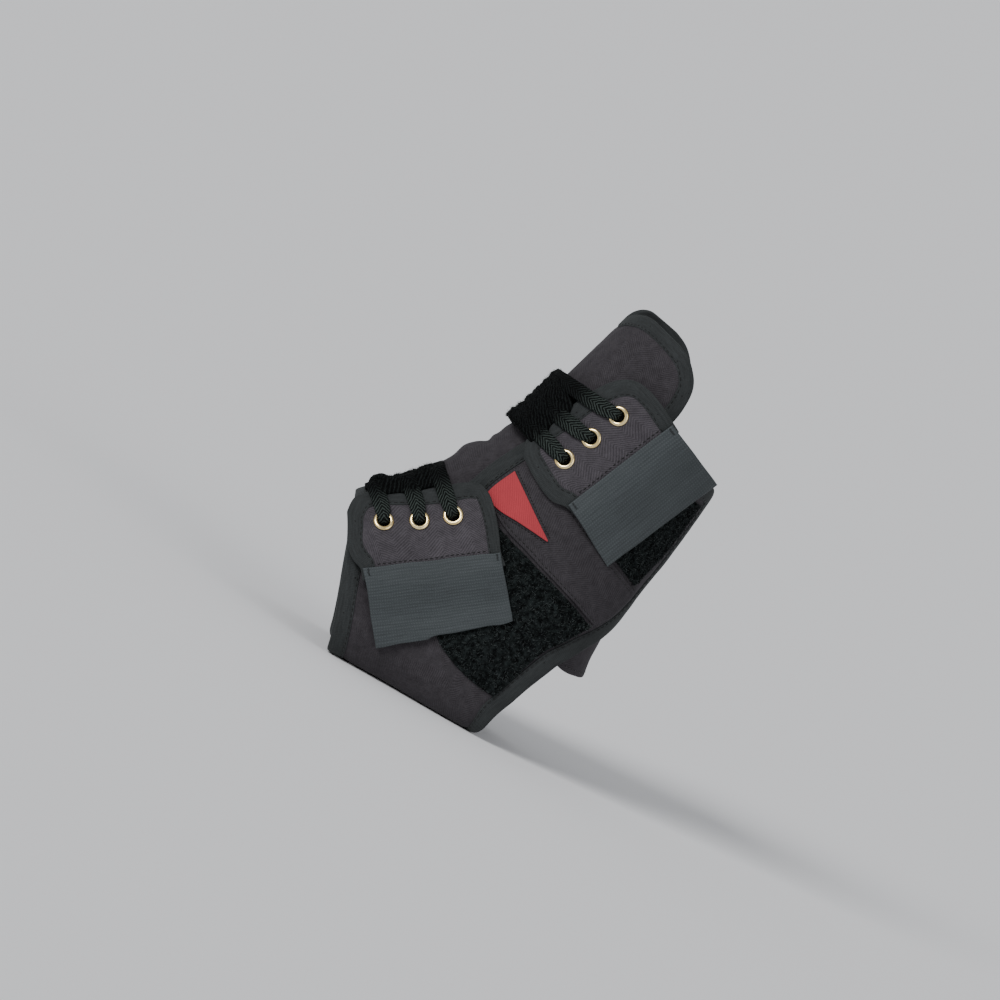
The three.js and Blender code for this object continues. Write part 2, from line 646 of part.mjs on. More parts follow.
// One strand: out of the far eyelet, over the front, down through the tab's eyelet and back under it
function laceStrand(near, far, meeting, { crown, drape }) {
  const overRim = CLEAR + FLANGE_THICK + CLEAR + LACE_THICK / 2;
  const rimLift = TAB_TOP + overRim;
  const farRim = PANEL_TOP + overRim;
  const front = [(near[0] + far[0]) / 2, 0];
  const beside = (place, distance) => walk(place, formPoint(...front).sub(formPoint(...place)), distance);
  const nearFront = [(near[0] + front[0]) / 2, near[1] * LACE_EDGE];
  const farFront = [(far[0] + front[0]) / 2, far[1] * LACE_EDGE];
  const steps = [];
  const add = (place, lift, widening) => steps.push({ place, lift, widening });
  const level = (from, to, count, lift) => stretch(from, to, count).forEach((place) => add(place, lift, 1));
  const slope = (edge, top, share) => THREE.MathUtils.lerp(edge, top, share ** drape);
  const towards = (from, to, count, edge) => stretch(from, to, count).forEach((place, k) => {
    add(place, slope(edge, crown, (k + 1) / count), 1);
  });
  const away = (from, to, count, edge) => stretch(from, to, count).forEach((place, k) => {
    add(place, slope(edge, crown, 1 - (k + 1) / count), 1);
  });
  add(far, PANEL_LIFT + 1, 0);
  add(far, PANEL_TOP, 0);
  add(beside(far, 1), farRim - 0.2, 0.2);
  add(beside(far, 3.2), farRim + 0.1, 0.7);
  add(beside(far, 7), farRim, 1);
  level(beside(far, 7), farFront, 2, farRim);
  towards(farFront, front, 4, farRim);
  away(front, nearFront, 4, rimLift);
  level(nearFront, beside(near, 7), 2, rimLift);
  add(beside(near, 3.2), rimLift + 0.1, 0.7);
  add(beside(near, 1), rimLift - 0.2, 0.2);
  add(near, TAB_TOP, 0);
  add(near, TAB_LIFT, 0);
  add(beside(near, 0.5), LACE_LIFT + 0.25, 0);
  add(beside(near, 3), LACE_LIFT - 0.1, 0.3);
  level(beside(near, 3), nearFront, 3, LACE_LIFT);
  towards(nearFront, meeting, 3, LACE_LIFT);
  const middle = steps.map(({ place, lift }) => onForm(...place, lift));
  return solidThrough(steps.map(({ place, widening }, i) => {
    const tangent = middle[Math.min(i + 1, steps.length - 1)].clone().sub(middle[Math.max(i - 1, 0)]).normalize();
    const along = frameAt(...place).alongV;
    const flat = along.addScaledVector(tangent, -along.dot(tangent)).normalize();
    const thick = new THREE.Vector3().crossVectors(tangent, flat);
    const halfWidth = THREE.MathUtils.lerp(LACE_NECK, LACE_WIDTH, widening) / 2;
    const corners = [[1, 1], [-1, 1], [-1, -1], [1, -1]];
    return corners.map(([w, h]) => middle[i].clone().addScaledVector(flat, w * halfWidth)
      .addScaledVector(thick, (h * LACE_THICK) / 2));
  }));
}

function makeLace(tab, knotted) {
  const strands = tab.eyelets.map((near, i) => {
    const next = i + 1 < tab.eyelets.length ? i + 1 : i - 1;
    const meeting = [(tab.eyelets[next][0] + tab.farEyelets[next][0]) / 2, 0];
    return laceStrand(near, tab.farEyelets[i], meeting, tab);
  });
  if (knotted) {
    const knot = positionsOnly(new THREE.IcosahedronGeometry(KNOT_SIZE / 2, 1));
    const [v, t, lift] = KNOT_PLACE;
    const carrier = placedOnForm(new THREE.Object3D(), [v, t], lift);
    carrier.updateMatrix();
    strands.push(knot.applyMatrix4(carrier.matrix));
  }
  addPiece(`${tab.name}_lace`, fused(strands), "lace");
}

makeTongue();
makeBackPanel();
addPiece("near_panel", makeSidePanel("near_panel", false), "twill");
const farEyelets = TABS.flatMap((tab) => tab.farEyelets);
addPiece("far_panel", withEyeletHoles(makeSidePanel("far_panel", true), farEyelets, PANEL_LIFT), "twill");
makeSole();
makeSkin("lower_loop_patch", LOOP_LOW, SKIN_LIFT, SKIN_THICK, "loop", 6, 7);
makeSkin("upper_loop_patch", LOOP_HIGH, SKIN_LIFT, SKIN_THICK, "loop", 6, 10);
makeSkin("stay_cover", STAY_COVER, SKIN_LIFT, SKIN_THICK, "twill", 9, 4);
makeSkin("wedge_patch", WEDGE, WEDGE_LIFT, PATCH_THICK, "wedge", 4, 2);
TABS.forEach((tab, k) => {
  makeTab(tab);
  tab.farEyelets.forEach((place, i) => {
    makeEyelet(`${tab.name}_far_eyelet_${i + 1}`, place, PANEL_LIFT, PANEL_TOP, false);
  });
  makeLace(tab, k === 0);
});

export default brace;
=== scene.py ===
"""The looks of the lace-up ankle brace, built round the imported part.

Lengths are in millimetres until a mesh is made. A place on the brace's inner form is (v, t), as in
the part's source: v runs from 0 at the leg opening to 1 at the forefoot opening, and t goes round
in degrees from 0 at the front, through 90 on the near side, to 180 at the back or sole.
"""
import math

import bpy
import numpy as np
from mathutils import Matrix, Vector

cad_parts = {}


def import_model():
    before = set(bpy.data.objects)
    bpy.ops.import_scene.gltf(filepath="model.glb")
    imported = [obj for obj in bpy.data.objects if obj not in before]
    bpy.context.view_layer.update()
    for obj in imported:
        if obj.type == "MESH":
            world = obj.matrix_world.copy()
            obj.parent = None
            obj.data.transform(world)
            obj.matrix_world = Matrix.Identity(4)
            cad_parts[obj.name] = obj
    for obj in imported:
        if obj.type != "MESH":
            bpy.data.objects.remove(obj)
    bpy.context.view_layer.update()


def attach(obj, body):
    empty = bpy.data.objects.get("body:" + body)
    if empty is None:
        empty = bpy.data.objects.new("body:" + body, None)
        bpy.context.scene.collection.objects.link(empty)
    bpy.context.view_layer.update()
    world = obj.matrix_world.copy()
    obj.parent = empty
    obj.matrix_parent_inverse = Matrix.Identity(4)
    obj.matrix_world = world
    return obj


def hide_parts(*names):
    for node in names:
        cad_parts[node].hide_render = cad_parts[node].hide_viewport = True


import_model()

MM = 0.001  # metres in a millimetre

# Overall sizes of the inner form, as in the part's source

LEG_HEIGHT = 205
FOOT_REACH = 101
HALF_WIDTH = 43

# Thicknesses
TONGUE_THICK = 2.4
PANEL_THICK = 2.5
SOLE_THICK = 3.1
BACK_THICK = 1.8
SKIN_THICK = 1.1
PATCH_THICK = 0.9
TAB_THICK = 1.5
STRAP_THICK = 1.3
LACE_THICK = 1.2
TAPE_PROUD = 0.3  # how far a tape's top is above its cloth's
TONGUE_PROUD = 0.2

# Clearances
CLEAR = 0.3
LAYER_GAP = 0.5
SKIN_GAP = 0.4

# Bindings, straps, laces and eyelets
BINDING_WIDTH = 8.2
TONGUE_BINDING_WIDTH = 7
TAB_BINDING_WIDTH = 7.2
STRAP_LAP = 5
STRAP_DROP = 18  # how far from its seam a strap has come down to the loop pile
LACE_WIDTH = 6.4
LACE_NECK = 4  # a lace's width at its eyelet
LACE_EDGE = 0.52  # where a strand turns over the front, as a share of its eyelet's t
FLANGE_THICK = 0.7
ROLL_THICK = 0.5
HOLE_RADIUS = 3.3

# Edges of the padded panels
UNDER = 1.1  # how far a panel's edge goes on under its tape
TAPE_THICK = 0.66  # from the tape's top down to the edge that it presses flat
EDGE_RISE = 0.62  # how far a panel's inner face rises towards its edge
PUCKER_LENGTH = 6.5
PUCKER_REACH = 7
PUCKER_HEIGHT = 0.14

# Stitches: the pitch of their row, their length and their radius
TAPE_STITCH = 2.9, 2.3, 0.2
SEAM_STITCH = 2.6, 2.0, 0.19
STRAP_STITCH = 2.4, 1.9, 0.22
WEDGE_STITCH = 1.7, 1.3, 0.22
TACK_STITCH = 0.5, 1.2, 0.12

# Where each layer lies, as lifts from the form
PANEL_LIFT = TONGUE_THICK + TONGUE_PROUD + LAYER_GAP
PANEL_TOP = PANEL_LIFT + PANEL_THICK
SOLE_LIFT = PANEL_LIFT + SOLE_THICK
SKIN_LIFT = PANEL_TOP + SKIN_GAP
SKIN_TOP = SKIN_LIFT + SKIN_THICK
WEDGE_LIFT = SKIN_TOP + CLEAR
LACE_LIFT = PANEL_TOP + TAPE_PROUD + SKIN_GAP + LACE_THICK / 2
TAB_LIFT = LACE_LIFT + LACE_THICK / 2 + CLEAR + ROLL_THICK + SKIN_GAP
TAB_TOP = TAB_LIFT + TAB_THICK
STRAP_LIFT = SKIN_TOP + SKIN_GAP
LAP_LIFT = TAB_TOP + TAPE_PROUD + SKIN_GAP

# Sections of the form, from the leg opening to the forefoot opening, as shares of its overall sizes
SOLE_MIDDLE = 0.37
SOLE_FLATNESS = 3

# front reach, front height, back reach, back height, width, belly, square
SECTIONS = np.array([
    [0.267, 1.0, -0.431, 0.927, 0.814, 0.5, 2.1],
    [0.376, 0.805, -0.401, 0.732, 0.779, 0.5, 2.1],
    [0.455, 0.663, -0.366, 0.546, 0.767, 0.5, 2.1],
    [0.525, 0.595, -0.327, 0.4, 0.826, 0.5, 2.1],
    [0.584, 0.546, -0.327, 0.254, 0.837, 0.52, 2.1],
    [0.653, 0.483, -0.347, 0.098, 0.791, 0.55, 2.2],
    [0.772, 0.41, -0.129, -0.039, 0.837, 0.6, 2.4],
    [0.901, 0.337, 0.337, -0.039, 0.907, 0.62, 2.5],
    [1.0, 0.283, 0.723, -0.039, 1.0, 0.62, 2.5],
])

# Folds across the front of the tongue: v, height as a share of TONGUE_THICK, spread in v
FOLDS = [
    [0.575, 1.0, 0.055], [0.48, -0.8, 0.03], [0.41, -0.35, 0.035], [0.2, 0.15, 0.1], [0.77, -0.75, 0.085],
]
FOLD_SIDE = 38

# Outlines as (v, t) points that a smooth curve passes through
SEAM = 148
HEEL_V = 0.775
PANEL_FOREFOOT = [[1, SEAM], [1, 120], [1, 90], [0.995, 66], [0.99, 50]]
PANEL_FRONT = [[0.965, 39.5], [0.9, 36], [0.75, 36], [0.6, 36], [0.45, 37], [0.3, 39.5], [0.19, 43.5]]
PANEL_TOP_EDGE = [[0.14, 50], [0.123, 62], [0.125, 100], [0.127, 150], [0.13, 166]]
PANEL_REAR = [
    [0.16, 176.5], [0.23, 177], [0.32, 177], [0.385, 174], [0.45, 160], [0.515, 143],
    [0.595, 126], [0.65, 123], [0.704, 125], [0.74, 132], [HEEL_V, SEAM],
]
PANEL_CORNERS = [[0.985, 44], [0.14, 50], [0.14, 173]]
TONGUE_TOP_EDGE = [[0.024, 0], [0.02, 8], [0.009, 19], [0, 38], [0.001, 70]]
TONGUE_SIDE = [[0.02, 91], [0.055, 98], [0.12, 98], [0.3, 90], [0.5, 78], [0.7, 66], [0.88, 57]]
TONGUE_END = [[0.95, 44], [0.97, 25], [0.97, 0]]
TONGUE_CORNERS = [[0.008, 82], [0.93, 51]]
BACK_SIDE = 112
BACK_TOP_V = 0.15
BACK_HEM = [[0.59, 112], [0.584, 130], [0.556, 156], [0.546, 180]]

LOOP_LOW = {
    "top": [[0.84, 68], [0.7, 62], [0.572, 60]],
    "left": [[0.84, 68], [0.818, 80], [0.779, 95], [0.737, 109], [0.72, 115.5]],
    "right": [[0.572, 60], [0.552, 70], [0.523, 84], [0.499, 100], [0.482, 118], [0.475, 137]],
    "bottom": [[0.72, 115.5], [0.674, 112.5], [0.605, 114], [0.54, 125], [0.475, 137]],
}
LOOP_HIGH = {
    "top": [[0.155, 74], [0.157, 120], [0.16, 157]],
    "left": [[0.155, 74], [0.24, 75], [0.326, 76]],
    "right": [[0.16, 157], [0.25, 156], [0.34, 151]],
    "bottom": [[0.326, 76], [0.333, 100], [0.336, 128], [0.34, 151]],
}
STAY_COVER = {
    "top": [[0.558, 49.5], [0.45, 49.5], [0.335, 54]],
    "left": [[0.558, 49.5], [0.544, 67], [0.517, 82], [0.494, 98], [0.476, 117], [0.467, 138]],
    "right": [[0.335, 54], [0.335, 76], [0.342, 100], [0.345, 128], [0.35, 158]],
    "bottom": [[0.467, 138], [0.43, 147.5], [0.39, 154], [0.35, 158]],
}
WEDGE = {
    "top": [[0.562, 49.5], [0.5, 50], [0.4175, 52]],
    "left": [[0.562, 49.5], [0.536, 59.3], [0.504, 69.2], [0.474, 78.8], [0.449, 88]],
    "right": [[0.4175, 52], [0.427, 65.4], [0.437, 77.4], [0.445, 87.8]],
    "bottom": [[0.449, 88], [0.447, 88.1], [0.445, 87.8]],
}
# crown and drape say how high the laces lie over the front, bunch and lean where they are drawn
# together, overhang how far in degrees their mass comes down over the tab.
TABS = [
    {
        "name": "lower",
        "left": [[0.95, 79], [0.957, 74], [0.984, 69], [1, 60]],
        "front": [[1, 47], [0.99, 37], [0.94, 29.5], [0.82, 30], [0.7, 34], [0.6, 39]],
        "right": [[0.556, 44], [0.537, 51], [0.54, 58], [0.557, 66], [0.585, 73], [0.591, 78]],
        "corners": [[1, 41], [0.56, 43]],
        "seam": [[0.954, 73.4], [0.876, 69.5], [0.809, 65.7], [0.739, 64.2], [0.672, 66.9], [0.584, 73.2]],
        "strap_left": [[0.954, 73.4], [0.936, 84], [0.925, 92.3], [0.912, 106.4]],
        "strap_right": [[0.584, 73.2], [0.607, 79.9], [0.625, 86.5], [0.638, 92.7]],
        "strap_end": [
            [0.912, 106.4], [0.86, 96.7], [0.808, 89.8], [0.751, 87.4], [0.696, 88.5], [0.638, 92.7],
        ],
        "eyelets": [[0.879, 48.4], [0.783, 47.5], [0.69, 49.1]],
        "far_eyelets": [[0.88, -54], [0.783, -53], [0.69, -53]],
        "crown": 1.3,
        "drape": 0.45,
        "bunch": [0.7, 0.889],
        "lean": 0.01,
        "overhang": 8.5,
    },
    {
        "name": "upper",
        "left": [[0.345, 91], [0.35, 85], [0.372, 77], [0.374, 66]],
        "front": [[0.368, 55], [0.352, 46.5], [0.32, 42.5], [0.26, 42], [0.2, 45.5], [0.14, 50]],
        "right": [[0.1, 56], [0.079, 64], [0.073, 75], [0.077, 87], [0.086, 98], [0.09, 103]],
        "corners": [[0.362, 50], [0.105, 55]],
        "seam": [[0.343, 84.7], [0.269, 86.1], [0.212, 88.5], [0.167, 91.1], [0.127, 93.9], [0.088, 97.1]],
        "strap_left": [[0.343, 84.7], [0.347, 96], [0.353, 108.3], [0.359, 121.9]],
        "strap_right": [[0.088, 97.1], [0.097, 112.1], [0.107, 128.7], [0.119, 151.8]],
        "strap_end": [
            [0.359, 121.9], [0.296, 125.9], [0.242, 130.4], [0.197, 136.1], [0.157, 142.9], [0.119, 151.8],
        ],
        "eyelets": [[0.263, 66.4], [0.19, 69.4], [0.132, 72.7]],
        "far_eyelets": [[0.3, -61], [0.24, -63], [0.18, -66]],
        "crown": 7,
        "drape": 1.2,
        "bunch": [0.152, 0.335],
        "lean": 0.014,
        "overhang": 10.5,
    },
]
KNOT_PLACE = [0.862, 4, 4.0]  # v, t and lift

# The inner form


def between_points(a, b, c, d, x):
    """A share x of the way from b to c, on a smooth curve through a, b, c and d."""
    return b + 0.5 * x * (c - a + x * (2 * a - 5 * b + 4 * c - d + x * (3 * (b - c) + d - a)))


def section_at(v):
    """The form's section at v, from a smooth curve through the table."""
    last = len(SECTIONS) - 1
    place = np.clip(v, 0, 1) * last
    i = np.minimum(place.astype(int), last - 1)
    x = (place - i)[..., None]
    b, c = SECTIONS[i], SECTIONS[i + 1]
    a = np.where((i > 0)[..., None], SECTIONS[np.maximum(i - 1, 0)], 2 * b - c)
    d = np.where((i + 2 <= last)[..., None], SECTIONS[np.minimum(i + 2, last)], 2 * c - b)
    return between_points(a, b, c, d, x)


def form_point(v, t):
    """The point of the form at a place: a bent superellipse, flattened where it meets the floor."""
    v, t = np.broadcast_arrays(np.asarray(v, float), np.asarray(t, float))
    section = np.moveaxis(section_at(v), -1, 0)
    front_reach, front_height, back_reach, back_height, width, belly, square = section
    angle = np.radians(t)
    along = np.sign(np.cos(angle)) * np.abs(np.cos(angle)) ** (2 / square)
    across = np.sign(np.sin(angle)) * np.abs(np.sin(angle)) ** (2 / square)
    share = np.where(along > 0, belly * (1 - along), belly - (1 - belly) * along)
    reach = (front_reach + (back_reach - front_reach) * share - SOLE_MIDDLE) * FOOT_REACH
    height = (front_height + (back_height - front_height) * share) * LEG_HEIGHT
    soft = (height + SOLE_FLATNESS) ** 2 / (4 * SOLE_FLATNESS)
    height = np.where(height > SOLE_FLATNESS, height, np.where(height < -SOLE_FLATNESS, 0, soft))
    return np.stack([-reach, -across * width * HALF_WIDTH, height + SOLE_LIFT], -1)


def unit(a):
    return a / np.maximum(np.linalg.norm(a, axis=-1, keepdims=True), 1e-9)


def dot(a, b):
    return (a * b).sum(-1)


def turns(count):
    """Equal angles round a circle."""
    return np.arange(count) * 2 * math.pi / count


def frame_at(v, t):
    """Directions along v and t at a place, and the outward normal."""
    v, t = np.broadcast_arrays(np.asarray(v, float), np.asarray(t, float))
    v = np.clip(v, 0, 1)
    step_v, step_t = 0.002, 0.4
    v0, v1 = np.maximum(v - step_v, 0), np.minimum(v + step_v, 1)
    along_v = (form_point(v1, t) - form_point(v0, t)) / (v1 - v0)[..., None]
    along_t = (form_point(v, t + step_t) - form_point(v, t - step_t)) / (2 * step_t)
    return along_v, along_t, unit(np.cross(along_v, along_t))


def on_form(v, t, lift):
    return form_point(v, t) + frame_at(v, t)[2] * np.asarray(lift, float)[..., None]


def walk(places, directions, distance):
    """Moves places over the form by a distance in directions of space."""
    v, t = places[:, 0].copy(), places[:, 1].copy()
    steps = 4
    for _ in range(steps):
        a, b, normal = frame_at(v, t)
        flat = directions - normal * dot(directions, normal)[:, None]
        flat = unit(flat) * distance / steps
        aa, ab, bb = dot(a, a), dot(a, b), dot(b, b)
        det = aa * bb - ab * ab
        da, db = dot(flat, a), dot(flat, b)
        v += (da * bb - db * ab) / det
        t += (db * aa - da * ab) / det
    return np.stack([v, t], 1)


# Curves on the form


def run_of(points):
    """The length from a line's first point to each of its points."""
    return np.concatenate([[0], np.cumsum(np.linalg.norm(np.diff(points, axis=0), axis=1))])


def read_at(want, run, values):
    """A line's values, read at wanted lengths along it."""
    return np.stack([np.interp(want, run, column) for column in values.T], 1)


def resample(places, count):
    """The same curve in equal steps."""
    places = np.asarray(places, float)
    run = run_of(form_point(*places.T))
    return read_at(np.linspace(0, run[-1], count + 1), run, places)


def curve_on(points, count):
    """A smooth curve through the points, in equal steps."""
    scale = 180
    knots = np.array(points, float) * [scale, 1]
    knots = np.concatenate([[2 * knots[0] - knots[1]], knots, [2 * knots[-1] - knots[-2]]])
    spread = np.linalg.norm(np.diff(knots, axis=0), axis=1) ** 0.5
    fine = []
    x = np.linspace(0, 1, 40, endpoint=False)[:, None]
    for i in range(1, len(knots) - 2):
        x0, x1, x2, x3 = knots[i - 1:i + 3]
        d0, d1, d2 = spread[i - 1:i + 2]
        m1 = ((x1 - x0) / d0 - (x2 - x0) / (d0 + d1) + (x2 - x1) / d1) * d1
        m2 = ((x2 - x1) / d1 - (x3 - x1) / (d1 + d2) + (x3 - x2) / d2) * d1
        square, cube = -3 * x1 + 3 * x2 - 2 * m1 - m2, 2 * x1 - 2 * x2 + m1 + m2
        fine.append(x1 + m1 * x + square * x**2 + cube * x**3)
    fine.append(knots[-2:-1])
    return resample(np.concatenate(fine) / [scale, 1], count)


def closest(places, place):
    return int(np.linalg.norm(form_point(*places.T) - form_point(*place), axis=1).argmin())


def curve_in_parts(points, corners, counts):
    """One smooth curve, cut at its corners into parts with their own numbers of equal steps."""
    fine = curve_on(points, 400)
    cuts = [0] + [closest(fine, corner) for corner in corners] + [len(fine) - 1]
    parts = [resample(fine[cuts[k]:cuts[k + 1] + 1], n)[1 if k else 0:] for k, n in enumerate(counts)]
    return np.concatenate(parts)


def on_seams(places, seams, reach=6):
    """Draws both ends of an open row of places onto seams, each at one t."""
    spots = form_point(*places.T)
    places = places.copy()
    for end, seam in zip((0, -1), seams):
        gap = np.linalg.norm(spots - spots[end], axis=1)
        places[:, 1] += (seam - places[end, 1]) * np.exp(-((gap / reach) ** 2))
    return places


def inset(places, side, distance, closed=False):
    """The curve that runs beside another, at a distance over the form."""
    spots = form_point(*places.T)
    if closed:
        tangent = np.roll(spots, -1, 0) - np.roll(spots, 1, 0)
    else:
        tangent = np.gradient(spots, axis=0)
        tangent[0], tangent[-1] = spots[1] - spots[0], spots[-1] - spots[-2]
    inwards = unit(np.cross(tangent, frame_at(*places.T)[2])) * side
    return walk(places, inwards, distance)


def mirrored(places):
    return places * [1, -1]


def stretch(start, end, count):
    """Steps on the way from one place to another, ending at the second."""
    return start + (end - start) * (np.arange(1, count + 1) / count)[:, None]


def refine(points, factor, closed=False):
    """A smooth curve through the points, with factor steps between one and the next."""
    p = np.asarray(points, float)
    if closed:
        p = np.concatenate([p[-1:], p, p[:2]])
    else:
        p = np.concatenate([[2 * p[0] - p[1]], p, [2 * p[-1] - p[-2]]])
    x = (np.arange(factor) / factor)[None, :, None]
    a, b, c, d = (p[k:len(p) - 3 + k, None] for k in range(4))
    out = between_points(a, b, c, d, x).reshape(-1, p.shape[1])
    return out if closed else np.concatenate([out, p[-2:-1]])


def at_shares(curve, shares):
    return read_at(shares, np.linspace(0, 1, len(curve)), curve)


def patch(top, bottom, left, right, rows=None, columns=None):
    """Places between four edge curves; top and bottom run left to right, left and right downwards.

    Where rows and columns are given, they are the shares of the way at which its lines run.
    """
    rows = np.linspace(0, 1, len(left)) if rows is None else rows
    columns = np.linspace(0, 1, len(top)) if columns is None else columns
    b, a = rows[:, None, None], columns[None, :, None]
    down = (1 - b) * at_shares(top, columns)[None] + b * at_shares(bottom, columns)[None]
    over = (1 - a) * at_shares(left, rows)[:, None] + a * at_shares(right, rows)[:, None]
    upper = (1 - a) * top[0] + a * top[-1]
    lower = (1 - a) * bottom[0] + a * bottom[-1]
    return down + over - (1 - b) * upper - b * lower


# Random fields


def ripples(points, length, seed, waves=7):
    """A smooth random field from -1 to 1 with features about as long as length."""
    rng = np.random.default_rng(seed)
    total = 0
    for _ in range(waves):
        way = unit(rng.normal(size=3)) * rng.uniform(0.6, 1.5) * 2 * math.pi / length
        total = total + np.sin(points @ way + rng.uniform(0, 2 * math.pi))
    return total / waves**0.5 / 1.4


def smooth(x):
    x = np.clip(x, 0, 1)
    return x * x * (3 - 2 * x)


def bulge(distance, width):
    """0 at an edge, rising like a pillow's side to 1 at width from it."""
    x = np.clip(distance / width, 0, 1)
    return np.sqrt(1 - (1 - x) ** 2)


# Meshes


def add_object(name, data):
    obj = bpy.data.objects.new(name, data)
    bpy.context.scene.collection.objects.link(obj)
    return obj


def make_mesh(name, points, faces, cloth, material, slot, replaces=()):
    """A mesh from points in mm. cloth holds each point's place across and along its cloth, and its tone."""
    name = f"fine_{name}" if replaces else name
    mesh = bpy.data.meshes.new(name)
    mesh.from_pydata((np.asarray(points) * MM).tolist(), [], [list(map(int, f)) for f in faces])
    attribute = mesh.attributes.new("cloth", "FLOAT_VECTOR", "POINT")
    attribute.data.foreach_set("vector", np.asarray(cloth, np.float32).ravel())
    mesh.polygons.foreach_set("use_smooth", [True] * len(mesh.polygons))
    mesh.update()
    obj = add_object(name, mesh)
    mesh.materials.append(material)
    if replaces:
        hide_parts(*replaces)
    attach(obj, "root")
    return obj


def arc_lengths(points, axis):
    """The length from a grid's first row or column to each of its points."""
    steps = np.linalg.norm(np.diff(points, axis=axis), axis=-1)
    pad = [(0, 0), (0, 0)]
    pad[axis] = (1, 0)
    return np.pad(np.cumsum(steps, axis=axis), pad)


SIDES = ("left", "right", "top", "bottom")


class Grid:
    """A patch of places with its spots on the form, its size and the distance to its edges in mm."""

    def __init__(self, places):
        self.places = places
        self.v, self.t = places[..., 0], places[..., 1]
        self.spots = form_point(self.v, self.t)
        self.normals = frame_at(self.v, self.t)[2]
        self.x = arc_lengths(self.spots, 1)
        self.y = arc_lengths(self.spots, 0)
        self.to = {
            "left": self.x, "right": self.x[:, -1:] - self.x,
            "top": self.y, "bottom": self.y[-1:] - self.y,
        }
        middle = self.x.shape[1] // 2
        self.cloth = np.stack([self.x - self.x[:, middle:middle + 1], self.y, 0 * self.x], -1)

    def edge(self, *sides):
        """Distance to the nearest of the named edges, or of all."""
        return np.min([self.to[s] for s in sides or SIDES], axis=0)

    def at(self, lift):
        return self.spots + self.normals * lift[..., None]

    def near(self, place):
        """Distance over the form to a place."""
        return np.linalg.norm(self.spots - form_point(*place), axis=-1)


def puckers(grid, seed, sides):
    """Small gathers that run into the cloth from its sewn edges."""
    total = np.zeros(grid.x.shape)
    for k, side in enumerate(sides):
        run = grid.y if side in ("left", "right") else grid.x
        wobble = 2.2 * ripples(grid.spots, 38, seed + k)
        wave = np.sin(run * 2 * math.pi / PUCKER_LENGTH + wobble + k)
        uneven = 0.6 + 0.4 * ripples(grid.spots, 25, seed + 9 + k)
        total += wave * np.exp(-grid.to[side] / PUCKER_REACH) * uneven
    return PUCKER_HEIGHT * total


def wall(name, grid, low, high, material, slot, replaces=(), holes=()):
    """A closed wall between two arrays of lifts over a grid, with holes through it."""
    rows, columns = grid.x.shape
    inner, outer = grid.at(low), grid.at(high)
    points = np.concatenate([inner.reshape(-1, 3), outer.reshape(-1, 3)])
    cloth = np.concatenate([grid.cloth.reshape(-1, 3)] * 2)
    kept = np.ones((rows - 1, columns - 1), bool)
    for place in holes:
        gap = grid.near(place)
        kept &= (gap[:-1, :-1] + gap[1:, 1:] + gap[:-1, 1:] + gap[1:, :-1]) / 4 > HOLE_RADIUS
    index = np.arange(rows * columns).reshape(rows, columns)
    a, b, c, d = index[:-1, :-1], index[:-1, 1:], index[1:, 1:], index[1:, :-1]
    top = rows * columns
    quads = [
        np.stack([a, b, c, d], -1)[kept],
        np.stack([d, c, b, a], -1)[kept] + top,
    ]
    padded = np.pad(kept, 1)
    for rolled, start, end in (
        (padded[:-2, 1:-1], b, a), (padded[2:, 1:-1], d, c),
        (padded[1:-1, :-2], a, d), (padded[1:-1, 2:], c, b),
    ):
        edge = kept & ~rolled
        s, e = start[edge], end[edge]
        quads.append(np.stack([s, e, e + top, s + top], -1))
    faces = np.concatenate(quads)
    # The winding is turned where the grid's own normal points inwards
    normal = np.cross(outer[0, 1] - outer[0, 0], outer[1, 0] - outer[0, 0])
    if normal @ grid.normals[0, 0] > 0:
        faces = faces[:, ::-1]
    used = np.zeros(len(points), bool)
    used[faces.ravel()] = True
    renumbered = np.cumsum(used) - 1
    return make_mesh(name, points[used], renumbered[faces], cloth[used], material, slot, replaces)


def padded_wall(name, grid, low, high, material, holes=()):
    obj = wall(name, grid, low, high, material, "twill", (name,), holes)


def tube_parts(rings, cloth, closed):
    """Points, faces and cloth of one closed body through rings (n, sides, 3)."""
    n, sides = rings.shape[:2]
    index = np.arange(n * sides).reshape(n, sides)
    here, following = (index, np.roll(index, -1, 0)) if closed else (index[:-1], index[1:])
    quads = np.stack([here, np.roll(here, -1, 1), np.roll(following, -1, 1), following], -1)
    points = rings.reshape(-1, 3)
    a, b, c, d = (points[quads[..., k].ravel()] for k in range(4))
    volume = dot(a, np.cross(b, c)).sum() + dot(a, np.cross(c, d)).sum()
    faces = [list(q) for q in quads.reshape(-1, 4)]
    if not closed:
        faces += [list(index[0][::-1]), list(index[-1])]
    if volume < 0:
        faces = [f[::-1] for f in faces]
    return points, faces, cloth.reshape(-1, 3)


def tube(name, rings, cloth, closed, material, slot, replaces):
    make_mesh(name, *tube_parts(rings, cloth, closed), material, slot, replaces)


def joined(name, bits, material, slot, replaces):
    """One mesh from several (points, faces, cloth)."""
    points, faces, cloth, start = [], [], [], 0
    for p, f, c in bits:
        points.append(p)
        cloth.append(c)
        faces += [[int(k) + start for k in face] for face in f]
        start += len(p)
    make_mesh(name, np.concatenate(points), faces, np.concatenate(cloth), material, slot, replaces)


def copies(name, shape, faces, centres, axes, sizes, material, slot, tone=0.0):
    """Many copies of one small shape, as one mesh."""
    spots = centres[:, None]
    for k, axis in enumerate(axes):
        spots = spots + shape[None, :, k:k + 1] * sizes[:, None, k:k + 1] * axis[:, None]
    starts = np.arange(len(centres))[:, None, None] * len(shape)
    all_faces = (np.array(faces)[None] + starts).reshape(-1, 4)
    cloth = np.zeros((len(centres) * len(shape), 3))
    cloth[:, 2] = tone
    make_mesh(name, spots.reshape(-1, 3), all_faces, cloth, material, slot)


